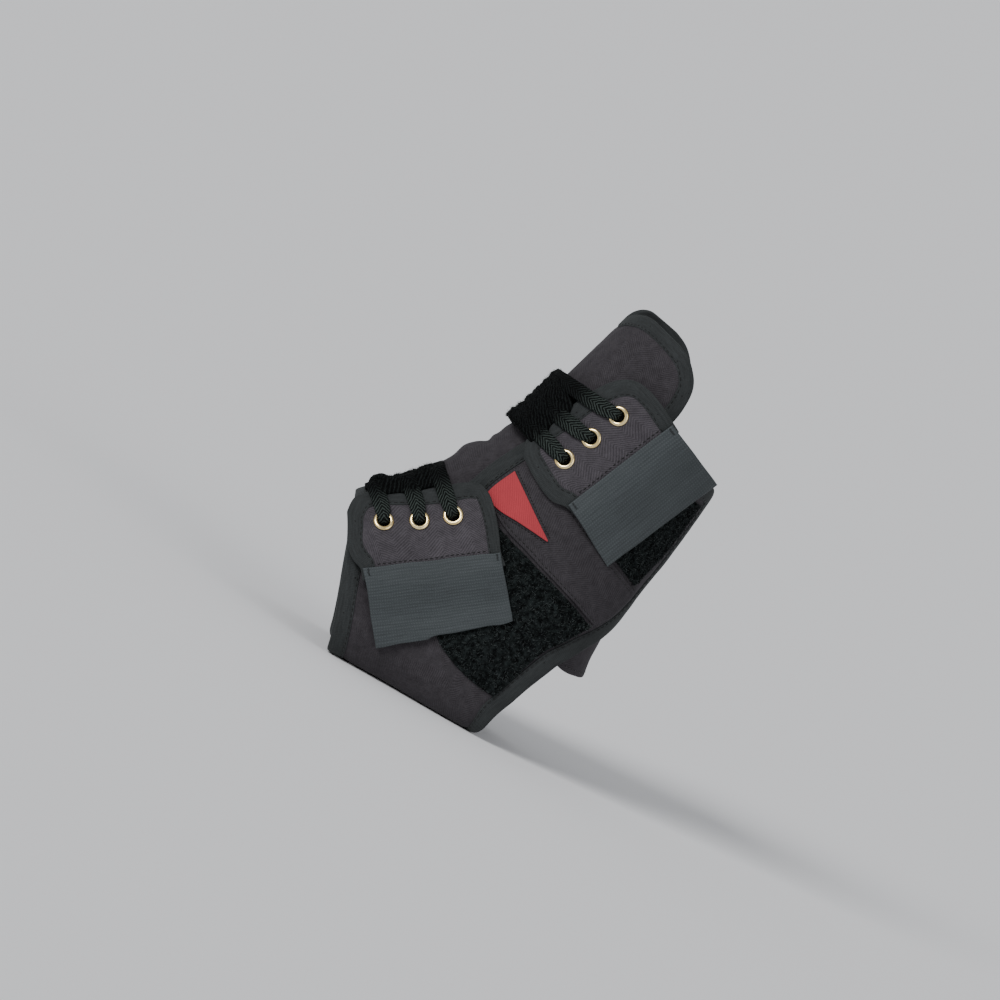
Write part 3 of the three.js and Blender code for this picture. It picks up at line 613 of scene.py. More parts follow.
def ring_faces(stations, around):
    """Quads from each ring of points to the next."""
    faces = []
    for i in range(0, (stations - 1) * around, around):
        for k in range(around):
            m = (k + 1) % around
            faces.append([i + k, i + m, i + around + m, i + around + k])
    return faces


def capsule(around=5):
    """A thread stitch along X, one unit long and two wide, sinking at its ends."""
    stations = [(-0.5, 0.1, -1.1), (-0.3, 1.0, -0.1), (0, 1.1, 0.1), (0.3, 1.0, -0.1), (0.5, 0.1, -1.1)]
    angle = turns(around)
    shape = [[x, r * math.cos(a), r * math.sin(a) + z] for x, r, z in stations for a in angle]
    return np.array(shape, float), ring_faces(len(stations), around)


def stitches(name, line, normals, stitch, seed, slot="tape", across=0.0):
    """A row of stitches along a line. across turns them over it, as in a bar-tack."""
    pitch, length, radius = stitch
    rng = np.random.default_rng(seed)
    run = run_of(line)
    count = max(int(run[-1] / pitch), 1)
    want = (np.arange(count) + 0.5) * run[-1] / count
    centre = read_at(want, run, line)
    normal = unit(read_at(want, run, normals))
    ahead = read_at(want + 0.3, run, line) - read_at(want - 0.3, run, line)
    ahead = unit(ahead - normal * dot(ahead, normal)[:, None])
    side = np.cross(normal, ahead)
    jitter = 0.06
    turn = across + rng.normal(scale=jitter, size=count)
    x_axis = ahead * np.cos(turn)[:, None] + side * np.sin(turn)[:, None]
    axes = x_axis, np.cross(normal, x_axis), normal
    centre = centre + side * rng.normal(scale=jitter, size=count)[:, None]
    shape, faces = capsule()
    thick = np.full(count, radius)
    sizes = np.stack([length * rng.uniform(0.92, 1.08, count), thick, thick], 1)
    copies(name, shape, faces, centre, axes, sizes, THREAD, slot)


def stitches_on_form(name, row, lift, stitch, seed):
    """Stitches along a row of places, at a lift."""
    stitches(name, on_form(*row.T, lift), frame_at(*row.T)[2], stitch, seed)


# Materials


class Shader:
    """A material with short ways to add the nodes that these cloths use."""

    def __init__(self, name, roughness, sheen=0.0, sheen_roughness=0.5, sheen_tint=(1, 1, 1), metallic=0.0,
                 specular=0.2):
        self.material = bpy.data.materials.new(name)
        self.material.use_nodes = True
        self.tree = self.material.node_tree
        self.surface = self.tree.nodes["Principled BSDF"]
        values = {
            "Roughness": roughness, "Metallic": metallic, "Specular IOR Level": specular,
            "Sheen Weight": sheen, "Sheen Roughness": sheen_roughness, "Sheen Tint": (*sheen_tint, 1),
        }
        for key, value in values.items():
            self.surface.inputs[key].default_value = value
        self.vector = self.node("ShaderNodeAttribute", {}, attribute_name="cloth").outputs["Vector"]
        self.x, self.y, self.tone = self.node("ShaderNodeSeparateXYZ", {0: self.vector}).outputs
        self.place = self.node("ShaderNodeTexCoord", {}).outputs["Object"]

    def node(self, kind, inputs, **settings):
        """A new node with its settings, and its inputs fed by name or number."""
        node = self.tree.nodes.new(kind)
        for key, value in settings.items():
            setattr(node, key, value)
        for key, value in inputs.items():
            self.feed(node.inputs[key], value)
        return node

    def feed(self, socket, value):
        if isinstance(value, bpy.types.NodeSocket):
            self.tree.links.new(value, socket)
        else:
            socket.default_value = value

    def math(self, operation, *values):
        return self.node("ShaderNodeMath", dict(enumerate(values)), operation=operation).outputs[0]

    def add(self, a, b):
        return self.math("ADD", a, b)

    def times(self, a, b):
        return self.math("MULTIPLY", a, b)

    def total(self, *terms):
        """The sum of values, each times its weight."""
        result = self.times(*terms[0])
        for term in terms[1:]:
            result = self.add(result, self.times(*term))
        return result

    def wave(self, distance, period):
        """0 to 1 and back over each period."""
        turn = self.times(distance, 2 * math.pi / period)
        return self.add(self.times(self.math("SINE", turn), 0.5), 0.5)

    def between(self, value, low, high):
        """A smooth step from 0 at low to 1 at high."""
        inputs = {"Value": value, "From Min": low, "From Max": high}
        return self.node("ShaderNodeMapRange", inputs, interpolation_type="SMOOTHSTEP").outputs["Result"]

    def noise(self, scale, detail=3.0, vector=None):
        """Noise with features of about 1 / scale, in space unless a vector is given."""
        inputs = {"Scale": scale, "Detail": detail, "Roughness": 0.6, "Vector": vector or self.place}
        return self.node("ShaderNodeTexNoise", inputs).outputs["Fac"]

    def streaks(self, detail, *stretch_by):
        """Noise over the cloth, stretched along it or across it."""
        inputs = {0: self.vector, 1: (*stretch_by, 0)}
        stretched = self.node("ShaderNodeVectorMath", inputs, operation="MULTIPLY").outputs[0]
        return self.noise(1.0, detail, stretched)

    def mix(self, share, a, b):
        a, b = (value if isinstance(value, bpy.types.NodeSocket) else (*value, 1) for value in (a, b))
        return self.node("ShaderNodeMix", {0: share, 6: a, 7: b}, data_type="RGBA").outputs[2]

    def scaled(self, colour, factor):
        return self.node("ShaderNodeVectorMath", {0: colour, "Scale": factor}, operation="SCALE").outputs[0]

    def bump(self, height, distance, strength=1.0):
        inputs = {"Strength": strength, "Distance": distance, "Height": height}
        self.feed(self.surface.inputs["Normal"], self.node("ShaderNodeBump", inputs).outputs["Normal"])

    def colour(self, value):
        self.feed(self.surface.inputs["Base Color"], value)

    def shaded(self, tint, shade, depth):
        """The tint as the colour, darker and lighter in soft patches."""
        self.colour(self.scaled(tint, self.add(1 - depth / 2, self.times(shade, depth))))


def twill_material(name, dark, light, rib, relief, painted_crown_sheen):
    """Ribbed twill, in herringbone stripes: ribs rise across one stripe and fall across the next."""
    stripe, slant = 7.8, 0.72
    s = Shader(name, 0.88, 0.05, 0.45, (0.86, 0.82, 0.9))
    drift = s.noise(60, 2.0)
    x = s.add(s.x, s.times(s.add(drift, -0.5), 0.5))
    across = s.math("PINGPONG", x, stripe)
    run = s.add(s.times(across, slant), s.y)
    ribs = s.wave(run, rib)
    grain = s.wave(s.add(s.times(s.y, -slant), across), 0.62)
    fuzz = s.noise(1500, 2.0)
    clumps = s.noise(260, 3.0)
    shade = s.noise(28, 3.0)
    crown = s.between(ribs, 0.12, 0.85)
    s.bump(s.total((crown, 1.0), (grain, 0.22), (fuzz, 0.5), (clumps, 0.5)), relief, 0.8)
    # The colour is painted lighter on the rib crowns, as sheen, and darker in the grooves, as shade; fuzz
    # and clumps vary the cloth's own tone.
    share = s.total((crown, painted_crown_sheen), (fuzz, 0.5), (clumps, 0.5))
    s.shaded(s.mix(s.between(share, 0.2, 1.05), dark, light), shade, 0.6)
    return s.material


def tape_material():
    """Ribbed binding tape: fine cords along its length, faint cross ribs and streaks."""
    s = Shader("binding_tape", 0.85, 0.05, 0.5, (0.8, 0.86, 0.84))
    cords = s.wave(s.x, 0.95)
    picks = s.wave(s.y, 0.7)
    fuzz = s.noise(1700, 2.0)
    streaks = s.streaks(3.0, 1.1, 0.12)
    shade = s.noise(40, 3.0)
    clumps = s.noise(300, 3.0)
    s.bump(s.total((cords, 0.1), (picks, 0.25), (fuzz, 0.7), (clumps, 0.9)), 0.00014, 0.85)
    share = s.total((picks, 0.15), (streaks, 0.6), (fuzz, 0.4))
    tint = s.mix(s.between(share, 0.25, 0.95), (0.0116, 0.0131, 0.0135), (0.032, 0.0353, 0.0361))
    # Sparse dark needle holes
    holes = s.node("ShaderNodeTexVoronoi", {"Scale": 0.22, "Randomness": 1.0, "Vector": s.vector})
    spot = s.between(holes.outputs["Distance"], 0.05, 0.1)
    s.shaded(s.mix(spot, (0.003, 0.003, 0.003), tint), shade, 0.5)
    return s.material


def hook_material():
    """Woven hook strap: fine ribs along its length, crossed by rows of small hooks."""
    s = Shader("hook_strap", 0.7, 0.04, 0.5, (0.85, 0.95, 0.92))
    drift = s.noise(45, 2.0)
    y = s.add(s.y, s.times(s.add(drift, -0.5), 0.35))
    ribs = s.wave(y, 1.32)
    rows = s.wave(s.x, 1.22)
    dots = s.times(s.between(ribs, 0.35, 0.85), s.between(rows, 0.3, 0.8))
    fuzz = s.noise(1900, 2.0)
    shade = s.noise(22, 3.0)
    streaks = s.streaks(2.0, 0.06, 0.8)
    s.bump(s.total((ribs, 0.2), (dots, 0.3), (fuzz, 0.6)), 0.00018, 0.8)
    share = s.total((dots, 0.22), (fuzz, 0.45), (streaks, 0.4))
    tint = s.mix(s.between(share, 0.1, 0.95), (0.026, 0.0305, 0.0325), (0.06, 0.069, 0.0735))
    s.shaded(tint, shade, 0.44)
    return s.material


def pile_material():
    """Black pile with pale curls here and there, by their tone."""
    s = Shader("loop_pile", 0.9, specular=0.08)
    clumps = s.noise(420, 4.0)
    shade = s.noise(60, 2.0)
    s.bump(clumps, 0.0009, 1.0)
    tint = s.mix(s.between(clumps, 0.35, 0.7), (0.0012, 0.0015, 0.0016), (0.014, 0.018, 0.018))
    s.shaded(s.mix(s.tone, tint, (0.07, 0.08, 0.08)), shade, 0.6)
    return s.material


def wedge_material():
    """Red cloth with fine slanted ribs."""
    s = Shader("red_cloth", 0.75, specular=0.15)
    ribs = s.wave(s.add(s.x, s.times(s.y, 0.7)), 0.95)
    fuzz = s.noise(1500, 2.0)
    shade = s.noise(70, 3.0)
    s.bump(s.total((ribs, 1.0), (fuzz, 0.7)), 0.00012, 0.8)
    share = s.total((ribs, 0.6), (fuzz, 0.4))
    s.shaded(s.mix(share, (0.27, 0.03, 0.037), (0.38, 0.045, 0.054)), shade, 0.4)
    return s.material


def lace_material():
    """Flat braid: chevrons of long floats, open and dark between them."""
    s = Shader("lace_braid", 0.9, specular=0.1)
    across = s.math("ABSOLUTE", s.x)
    warp = s.times(s.add(s.noise(350, 2.0), -0.5), 2.2)
    run = s.add(s.math("SUBTRACT", s.y, s.times(across, 1.25)), warp)
    floats = s.wave(run, 1.9)
    cell = s.wave(s.add(s.y, s.times(across, 1.9)), 2.4)
    fuzz = s.noise(1400, 3.0)
    clumps = s.noise(420, 3.0)
    crown = s.between(floats, 0.3, 0.75)
    s.bump(s.total((crown, 1.0), (cell, 0.35), (clumps, 0.8)), 0.0005, 1.0)
    share = s.total((crown, 0.65), (fuzz, 0.35), (clumps, 0.3))
    # By its tone the lace is painted near black over the front, as shade, and grey-green, its own colour,
    # towards its eyelets.
    painted_shade_black = s.mix(s.between(share, 0.75, 1.1), (0.0003, 0.0003, 0.0004), (0.008, 0.01, 0.01))
    grey = s.mix(s.between(share, 0.25, 0.95), (0.0015, 0.002, 0.002), (0.034, 0.043, 0.039))
    s.colour(s.mix(s.tone, painted_shade_black, grey))
    return s.material


def thread_material():
    s = Shader("black_thread", 0.6, 0.1)
    colour = (0.004, 0.004, 0.004)
    fuzz = s.noise(2500, 2.0)
    s.shaded(colour, fuzz, 0.8)
    s.bump(fuzz, 0.0001, 0.6)
    return s.material


def brass_material():
    s = Shader("eyelet_brass", 0.2, metallic=1.0)
    wear = s.noise(900, 3.0)
    smudge = s.noise(180, 3.0)
    s.colour(s.mix(s.between(smudge, 0.35, 0.7), (0.84, 0.63, 0.28), (0.95, 0.8, 0.46)))
    s.feed(s.surface.inputs["Roughness"], s.add(0.14, s.times(wear, 0.16)))
    s.bump(wear, 0.00003, 0.4)
    return s.material


TWILL = twill_material("body_twill", (0.014, 0.012, 0.014), (0.047, 0.043, 0.048), 1.15, 0.00005, 0.17)
TAB_TWILL = twill_material("tab_twill", (0.021, 0.019, 0.022), (0.07, 0.063, 0.072), 1.25, 0.00012, 0.22)
TAPE = tape_material()
HOOK = hook_material()
PILE = pile_material()
RED = wedge_material()
LACE = lace_material()
THREAD = thread_material()
BRASS = brass_material()

# Bound edges


def tape_profile(width, low, high):
    """The tape's section: distance in from the edge, and lift, round the outside and back inside."""
    thick = 0.5
    middle = (low + high) / 2
    outside = [
        (width, high - 0.5), (width - 0.12, high - 0.16), (width - 0.4, high - 0.02),
        (width - 0.95, high - 0.14), (width - 1.7, high + 0.06), (width * 0.62, high + 0.16),
        (width * 0.42, high + 0.18), (width * 0.24, high + 0.12),
        (0.85, high - 0.04), (0.32, high - 0.3), (0.06, (high + middle) / 2 - 0.05), (0.0, middle),
        (0.06, (low + middle) / 2 + 0.05), (0.32, low + 0.3), (0.85, low + 0.06), (width * 0.3, low),
        (width * 0.6, low), (width - 1.4, low), (width - 0.3, low + 0.04), (width, low + 0.35),
    ]
    inside = [
        (width - 0.02, low + thick), (width * 0.5, low + thick), (1.3, low + thick + 0.05), (0.75, middle),
        (1.3, high - thick - 0.05), (width * 0.5, high - thick), (width - 0.02, high - thick - 0.08),
    ]
    return outside + inside


def binding(name, edge, side, width, low, high, factor, closed=False, seed=1, seams=None):
    """A folded tape round an edge, with a row of stitches. Returns the smooth outer and inner curves."""
    inner = refine(inset(edge, side, width, closed), factor, closed)
    outer = refine(edge, factor, closed)
    if seams:
        inner = on_seams(inner, seams)
    profile = np.array(tape_profile(width, low, high))
    shares = profile[:, 0] / width
    places = outer[:, None] + (inner - outer)[:, None] * shares[None, :, None]
    spots = form_point(places[..., 0], places[..., 1])
    normals = frame_at(places[..., 0], places[..., 1])[2]
    run = run_of(form_point(*outer.T))
    free = np.clip(1 - np.abs(shares - 0.45) / 0.55, 0, 1)[None]
    waves = ripples(spots, 16, seed) * 0.128 + ripples(spots, 6, seed + 1) * 0.056
    sign = np.where(profile[:, 1] >= (low + high) / 2, 1, -1)
    lift = np.maximum(profile[None, :, 1] + waves * free * sign, low - 0.02)
    rings = spots + normals * lift[..., None]
    cloth = np.stack(np.broadcast_arrays(profile[None, :, 0] * sign[None], run[:, None], 0.0), -1)
    tube(name, rings, cloth, closed, TAPE, "tape", (name,))
    row = outer + (inner - outer) * (width - 0.95) / width
    if closed:
        row = np.concatenate([row, row[:1]])
    stitches_on_form(f"{name}_stitches", row, high - 0.02, TAPE_STITCH, seed)
    return outer, inner


def tucked(outer, inner, width):
    """The edge of the cloth that goes on under a tape."""
    return inner + (outer - inner) * UNDER / width


def padded_lifts(grid, low, high, tape_high, puff, width, seed, wrinkle=0.22, sides=SIDES):
    """Lifts of a padded panel whose edges are pressed flat under their tape."""
    edge = grid.edge(*sides)
    pressed = tape_high - TAPE_THICK
    rise = bulge(edge - UNDER + 0.15, width)
    outer = pressed + (high + puff - pressed) * rise
    waves = wrinkle * ripples(grid.spots, 42, seed) + 0.09 * ripples(grid.spots, 13, seed + 1)
    outer = outer + rise * waves
    outer = outer + smooth(edge / 3) * puckers(grid, seed + 20, sides)
    inner = low + EDGE_RISE * (1 - smooth(edge / 4))
    return inner, outer


def side_panel(name, far):
    columns, rows, seam_rows = 9, 17, 4
    factor = 8 if far else 10
    outline = PANEL_FOREFOOT + PANEL_FRONT + PANEL_TOP_EDGE + PANEL_REAR
    rear_rows = rows - seam_rows
    edge = curve_in_parts(outline, PANEL_CORNERS, [columns, rows, columns, rear_rows])
    side = 1
    if far:
        edge, side = mirrored(edge), -1
    tape_high = PANEL_TOP + TAPE_PROUD
    outer, inner = binding(f"{name}_binding", edge, side, BINDING_WIDTH, PANEL_LIFT, tape_high, factor,
                           seed=11 + far, seams=(side * SEAM, side * SEAM))
    border = tucked(outer, inner, BINDING_WIDTH)
    c, r = columns * factor, rows * factor
    bottom = border[:c + 1][::-1]
    left = border[c:c + r + 1][::-1]
    top = border[c + r:2 * c + r + 1]
    rear = border[2 * c + r:]
    right = np.concatenate([rear, stretch(rear[-1], border[0], seam_rows * factor)])
    grid = Grid(patch(top, bottom, left, right))
    low, high = padded_lifts(grid, PANEL_LIFT, PANEL_TOP - 0.05, tape_high, 0.25, 5.0, 31 + far)
    holes = [place for tab in TABS for place in tab["far_eyelets"]] if far else ()
    padded_wall(name, grid, low, high, TWILL, holes)


def fold_lift(v, t):
    """How far the folds raise or lower the tongue at a place."""
    side = np.minimum(np.abs(t) / FOLD_SIDE, 1)
    fade = np.cos(side * math.pi / 2) ** 2
    waves = sum(height * np.exp(-(((v - place) / spread) ** 2)) for place, height, spread in FOLDS)
    return TONGUE_THICK * waves * fade


def tongue():
    columns, rows, factor = 5, 17, 10
    outline = TONGUE_TOP_EDGE + TONGUE_SIDE + TONGUE_END
    around = curve_in_parts(outline, TONGUE_CORNERS, [columns, rows, columns])
    loop = np.concatenate([around, mirrored(around)[::-1][1:-1]])
    high = TONGUE_THICK + TONGUE_PROUD
    width = TONGUE_BINDING_WIDTH
    outer, inner = binding("tongue_binding", loop, 1, width, 0, high, factor, closed=True, seed=51)
    border = tucked(outer, inner, width)[:(2 * columns + rows) * factor + 1]
    c, r = columns * factor, rows * factor
    top_half, side, end_half = border[:c + 1], border[c:c + r + 1], border[c + r:][::-1]
    top = np.concatenate([mirrored(top_half)[::-1][:-1], top_half])
    bottom = np.concatenate([mirrored(end_half)[::-1][:-1], end_half])
    grid = Grid(patch(top, bottom, mirrored(side), side))
    low, outer_lift = padded_lifts(grid, 0, TONGUE_THICK - 0.1, high, 0.2, 5.0, 61, wrinkle=0.3)
    fold = fold_lift(grid.v, grid.t)
    padded_wall("tongue", grid, low + fold, outer_lift + fold, TWILL)


def rounded(grid, low, high, soft, wrinkle, seed):
    """Lifts of a thin piece with soft edges."""
    edge = grid.edge()
    middle, half = (low + high) / 2, (high - low) / 2
    full = 0.35 + 0.65 * bulge(edge, soft)
    wave = wrinkle * ripples(grid.spots, 24, seed) + 0.4 * wrinkle * ripples(grid.spots, 9, seed + 1)
    return middle - half * full, middle + half * full + wave * smooth(edge / 3)


def edge_rows(count, size, close=(0.0, 0.12, 0.35, 0.8)):
    """Shares from 0 to 1 of a size in mm, with a few rows set close to each end."""
    ends = np.array(close) / size
    middle = np.linspace(close[-1] / size, 1 - close[-1] / size, count)[1:-1]
    return np.concatenate([ends, middle, 1 - ends[::-1]])


def skin_grid(shape, row_count, column_count, size=(40, 40)):
    edges = [curve_on(shape[k], 240) for k in ("top", "bottom", "left", "right")]
    return Grid(patch(*edges, edge_rows(row_count, size[0]), edge_rows(column_count, size[1])))


def declare_sheet(grid, lift):
    """Works out how large the cloth was cut, from the lengths and area of its middle surface; nothing is
    done with the sizes.
    """
    spots = grid.at(np.full(grid.x.shape, lift)) * MM
    width = arc_lengths(spots, 1)[:, -1].max()
    length = arc_lengths(spots, 0)[-1].max()
    a, b = spots[1:, 1:] - spots[:-1, :-1], spots[1:, :-1] - spots[:-1, 1:]
    area = float(np.linalg.norm(np.cross(a, b), axis=-1).sum() / 2)
    area = min(area, width * length)


def stitch_line(name, grid, lift, side, distance, seed, stitch=SEAM_STITCH):
    """Stitches over a grid, at a distance from one of its edges."""
    fields = grid.to[side], grid.at(lift), grid.normals
    if side in ("left", "right"):
        fields = [field.swapaxes(0, 1) for field in fields]
    gaps, spots, normals = fields
    line, out = [], []
    for k in range(gaps.shape[1]):
        order = np.argsort(gaps[:, k])
        line.append(read_at([distance], gaps[order, k], spots[order, k])[0])
        out.append(read_at([distance], gaps[order, k], normals[order, k])[0])
    line, out = np.array(line), np.array(out)
    run = run_of(line)
    trim = 2
    keep = (run > trim) & (run < run[-1] - trim)
    stitches(name, line[keep], out[keep], stitch, seed)


def back_panel():
    full = BACK_HEM + [[v, 360 - t] for v, t in BACK_HEM[::-1][1:]]
    hem = curve_on(full, 240)
    top = curve_on([[BACK_TOP_V, BACK_SIDE], [BACK_TOP_V, 180], [BACK_TOP_V, 360 - BACK_SIDE]], 240)
    left = curve_on([[BACK_TOP_V, BACK_SIDE], BACK_HEM[0]], 240)
    right = left * [1, -1] + [0, 360]
    grid = Grid(patch(top, hem, left, right, edge_rows(60, 90), edge_rows(80, 150)))
    low, high = rounded(grid, 0.0, BACK_THICK, 1.2, 0.12, 71)
    padded_wall("back_panel", grid, low, high, TWILL)
    stitch_line("back_panel_hem_stitches", grid, high, "bottom", 2.6, 72)


def sole():
    factor, columns, rows = 12, 8, 60
    gap = 0.4  # degrees
    start, end = SEAM + gap, 360 - SEAM - gap
    high = PANEL_TOP + TAPE_PROUD
    front = curve_on([[1, start], [1, 180], [1, end]], columns)
    rear = curve_on([[HEEL_V, start], [HEEL_V, 180], [HEEL_V, end]], columns)
    edges = []
    for name, curve, side, seed in (("front", front, -1, 81), ("rear", rear, 1, 82)):
        outer, inner = binding(f"sole_{name}_binding", curve, side, BINDING_WIDTH, PANEL_LIFT, high, factor,
                               seed=seed, seams=(start, end))
        edges.append(tucked(outer, inner, BINDING_WIDTH))
    bottom, top = edges
    left, right = resample([top[0], bottom[0]], rows), resample([top[-1], bottom[-1]], rows)
    grid = Grid(patch(top, bottom, left, right))
    edge = grid.edge("top", "bottom")
    sides = grid.edge("left", "right")
    pressed = high - TAPE_THICK
    rise = bulge(edge - UNDER + 0.15, 5) * (0.55 + 0.45 * bulge(sides, 3))
    outer_lift = pressed + (SOLE_LIFT - pressed) * rise
    inner_lift = PANEL_LIFT + EDGE_RISE * (1 - smooth(edge / 4))
    padded_wall("sole_panel", grid, inner_lift, outer_lift, TWILL)


def curl():
    """Points and faces of one loop of yarn, an open ring that stands on its gap."""
    segments, sides, thick = 5, 3, 0.2
    turn = math.radians(290)
    points = []
    for a in np.linspace(-turn / 2, turn / 2, segments):
        for r in turns(sides):
            radius = 1 + thick * math.cos(r)
            points.append([radius * math.sin(a), thick * math.sin(r), 1 + radius * math.cos(a)])
    return np.array(points), ring_faces(segments, sides)


def scattered(rng, count, spots, normals):
    """Points and normals spread evenly over the area of a surface."""
    rising, falling = spots[1:, 1:] - spots[:-1, :-1], spots[1:, :-1] - spots[:-1, 1:]
    cell = np.linalg.norm(np.cross(rising, falling), axis=-1).ravel()
    chosen = rng.choice(len(cell), count, p=cell / cell.sum())
    i, j = np.divmod(chosen, spots.shape[1] - 1)
    a, b = rng.random(count)[:, None], rng.random(count)[:, None]

    def blend(field):
        near = (1 - a) * (1 - b) * field[i, j] + a * (1 - b) * field[i + 1, j]
        return near + (1 - a) * b * field[i, j + 1] + a * b * field[i + 1, j + 1]

    return blend(spots), unit(blend(normals))


def loop_patch(name, shape, rows, columns, curls, seed):
    """Loop pile: an uneven ground, and thousands of small curls standing on it."""
    grid = skin_grid(shape, rows, columns, (60, 60))
    low, high = rounded(grid, SKIN_LIFT, SKIN_TOP - 0.35, 0.8, 0.05, seed)
    high = high + 0.22 * ripples(grid.spots, 2.6, seed + 4, 12) * smooth(grid.edge())
    obj = wall(name, grid, low, high, PILE, "loop", (name,))
    rng = np.random.default_rng(seed)
    centre, normal = scattered(rng, curls, grid.at(high), grid.normals)
    lean = unit(normal + rng.normal(scale=0.55, size=(curls, 3)))
    x_axis = unit(np.cross(lean, rng.normal(size=(curls, 3))))
    axes = x_axis, np.cross(lean, x_axis), lean
    size = rng.uniform(0.36, 0.66, (curls, 1)) * [[1.0, 1.0, 0.9]]
    size[:, 0] *= rng.uniform(0.8, 1.5, curls)
    points, faces = curl()
    tone = np.repeat(0.75 * rng.random(curls) ** 2, len(points))
    copies(f"{name}_curls", points, faces, centre - normal * 0.2, axes, size, PILE, "loop", tone)
    declare_sheet(grid, SKIN_LIFT + SKIN_THICK / 2)


def stay_cover():
    grid = skin_grid(STAY_COVER, 100, 50, (110, 36))
    low, high = rounded(grid, SKIN_LIFT, SKIN_TOP, 0.9, 0.12, 121)
    # A flat stay under the cover shows as a low ridge between its two rows of stitches
    seam = 1.6
    high = high - 0.22 * np.exp(-(((grid.edge("left", "right") - seam) / 0.7) ** 2))
    obj = wall("stay_cover", grid, low, high, TWILL, "twill", ("stay_cover",))
    for side, seed in (("left", 122), ("right", 123)):
        stitch_line(f"stay_cover_{side}_stitches", grid, high + 0.1, side, seam, seed)
    declare_sheet(grid, SKIN_LIFT + SKIN_THICK / 2)


def wedge_patch():
    grid = skin_grid(WEDGE, 60, 34, (38, 20))
    low, high = rounded(grid, WEDGE_LIFT, WEDGE_LIFT + PATCH_THICK, 0.6, 0.05, 131)
    obj = wall("wedge_patch", grid, low, high, RED, "wedge", ("wedge_patch",))
    declare_sheet(grid, WEDGE_LIFT + PATCH_THICK / 2)
    for side, key in ((1, "left"), (-1, "right")):
        row = inset(curve_on(WEDGE[key], 120), side, 1.1)
        stitches_on_form(f"wedge_patch_{key}_stitches", row, SKIN_TOP + 0.12, WEDGE_STITCH, 132)


def tab_piece(tab):
    """A tab with its bound edge, its strap, and the eyelets of its lace on both sides."""
    name = tab["name"]
    columns, rows, factor = 8, 6, 12
    seed = 141 if name == "lower" else 161
    outline = tab["left"] + tab["front"] + tab["right"]
    edge = curve_in_parts(outline, tab["corners"], [rows, columns, rows])
    high = TAB_TOP + TAPE_PROUD
    outer, inner = binding(f"{name}_tab_binding", edge, 1, TAB_BINDING_WIDTH, TAB_LIFT, high, factor,
                           seed=seed)
    border = tucked(outer, inner, TAB_BINDING_WIDTH)
    end = inset(curve_on(tab["seam"], 60), 1, STRAP_LAP)
    inside = end[closest(end, border[0]) + 1:closest(end, border[-1])]
    r, c = rows * factor, columns * factor
    left, top, right = border[:r + 1][::-1], border[r:r + c + 1], border[r + c:]
    bottom = resample(np.concatenate([border[:1], inside, border[-1:]]), c)
    grid = Grid(patch(top, bottom, left, right))
    low, high_lift = padded_lifts(grid, TAB_LIFT, TAB_TOP - 0.05, high, 0.3, 4.0, seed + 3, 0.16,
                                  ("left", "right", "top"))
    # The cloth is drawn down round each eyelet
    for place in tab["eyelets"]:
        gap = grid.near(place)
        high_lift = high_lift - 0.28 * np.exp(-(((gap - 3) / 2.6) ** 2))
    padded_wall(f"{name}_tab", grid, low, high_lift, TAB_TWILL, tab["eyelets"])
    stitch_line(f"{name}_hook_strap_stitches", grid, high_lift + 0.05, "bottom", STRAP_LAP + 1.2,
                seed + 8, STRAP_STITCH)
    strap(tab, seed)
    for i, place in enumerate(tab["eyelets"]):
        eyelet(f"{name}_tab_eyelet_{i + 1}", place, TAB_LIFT, TAB_TOP, True)
    for i, place in enumerate(tab["far_eyelets"]):
        eyelet(f"{name}_far_eyelet_{i + 1}", place, PANEL_LIFT, PANEL_TOP, False)


def strap(tab, seed):
    """A hook strap, sewn over its tab and lying on the loop pile below it."""
    name = f"{tab['name']}_hook_strap"
    edges = [curve_on(tab[k], 240) for k in ("seam", "strap_end", "strap_left", "strap_right")]
    grid = Grid(patch(*edges, edge_rows(120, 40), edge_rows(50, 64)))
    drop = smooth((grid.y - STRAP_LAP - 1) / STRAP_DROP)
    base = LAP_LIFT + (STRAP_LIFT - LAP_LIFT) * drop
    low, high = rounded(grid, 0, STRAP_THICK, 0.8, 0.05, seed + 7)
    ribs = 0.025 * np.sin(grid.y * 2 * math.pi / 1.32)
    high = high + ribs * smooth(grid.edge() / 1.2)
    obj = wall(name, grid, base + low, base + high, HOOK, "hook", (name,))
    declare_sheet(grid, STRAP_LIFT + STRAP_THICK / 2)
    # Bar-tacks: dense short stitches down both ends of the sewn edge
    inwards = 1.6
    for side in ("left", "right"):
        pick = int(np.abs(grid.to[side][20] - inwards).argmin())
        rows = (grid.y[:, pick] > 0.2) & (grid.y[:, pick] < 3.6)
        line = grid.at(base + high + 0.08)[rows, pick]
        stitches(f"{name}_{side}_tack", line, grid.normals[rows, pick], TACK_STITCH, seed + 9, "hook",
                 across=math.pi / 2)


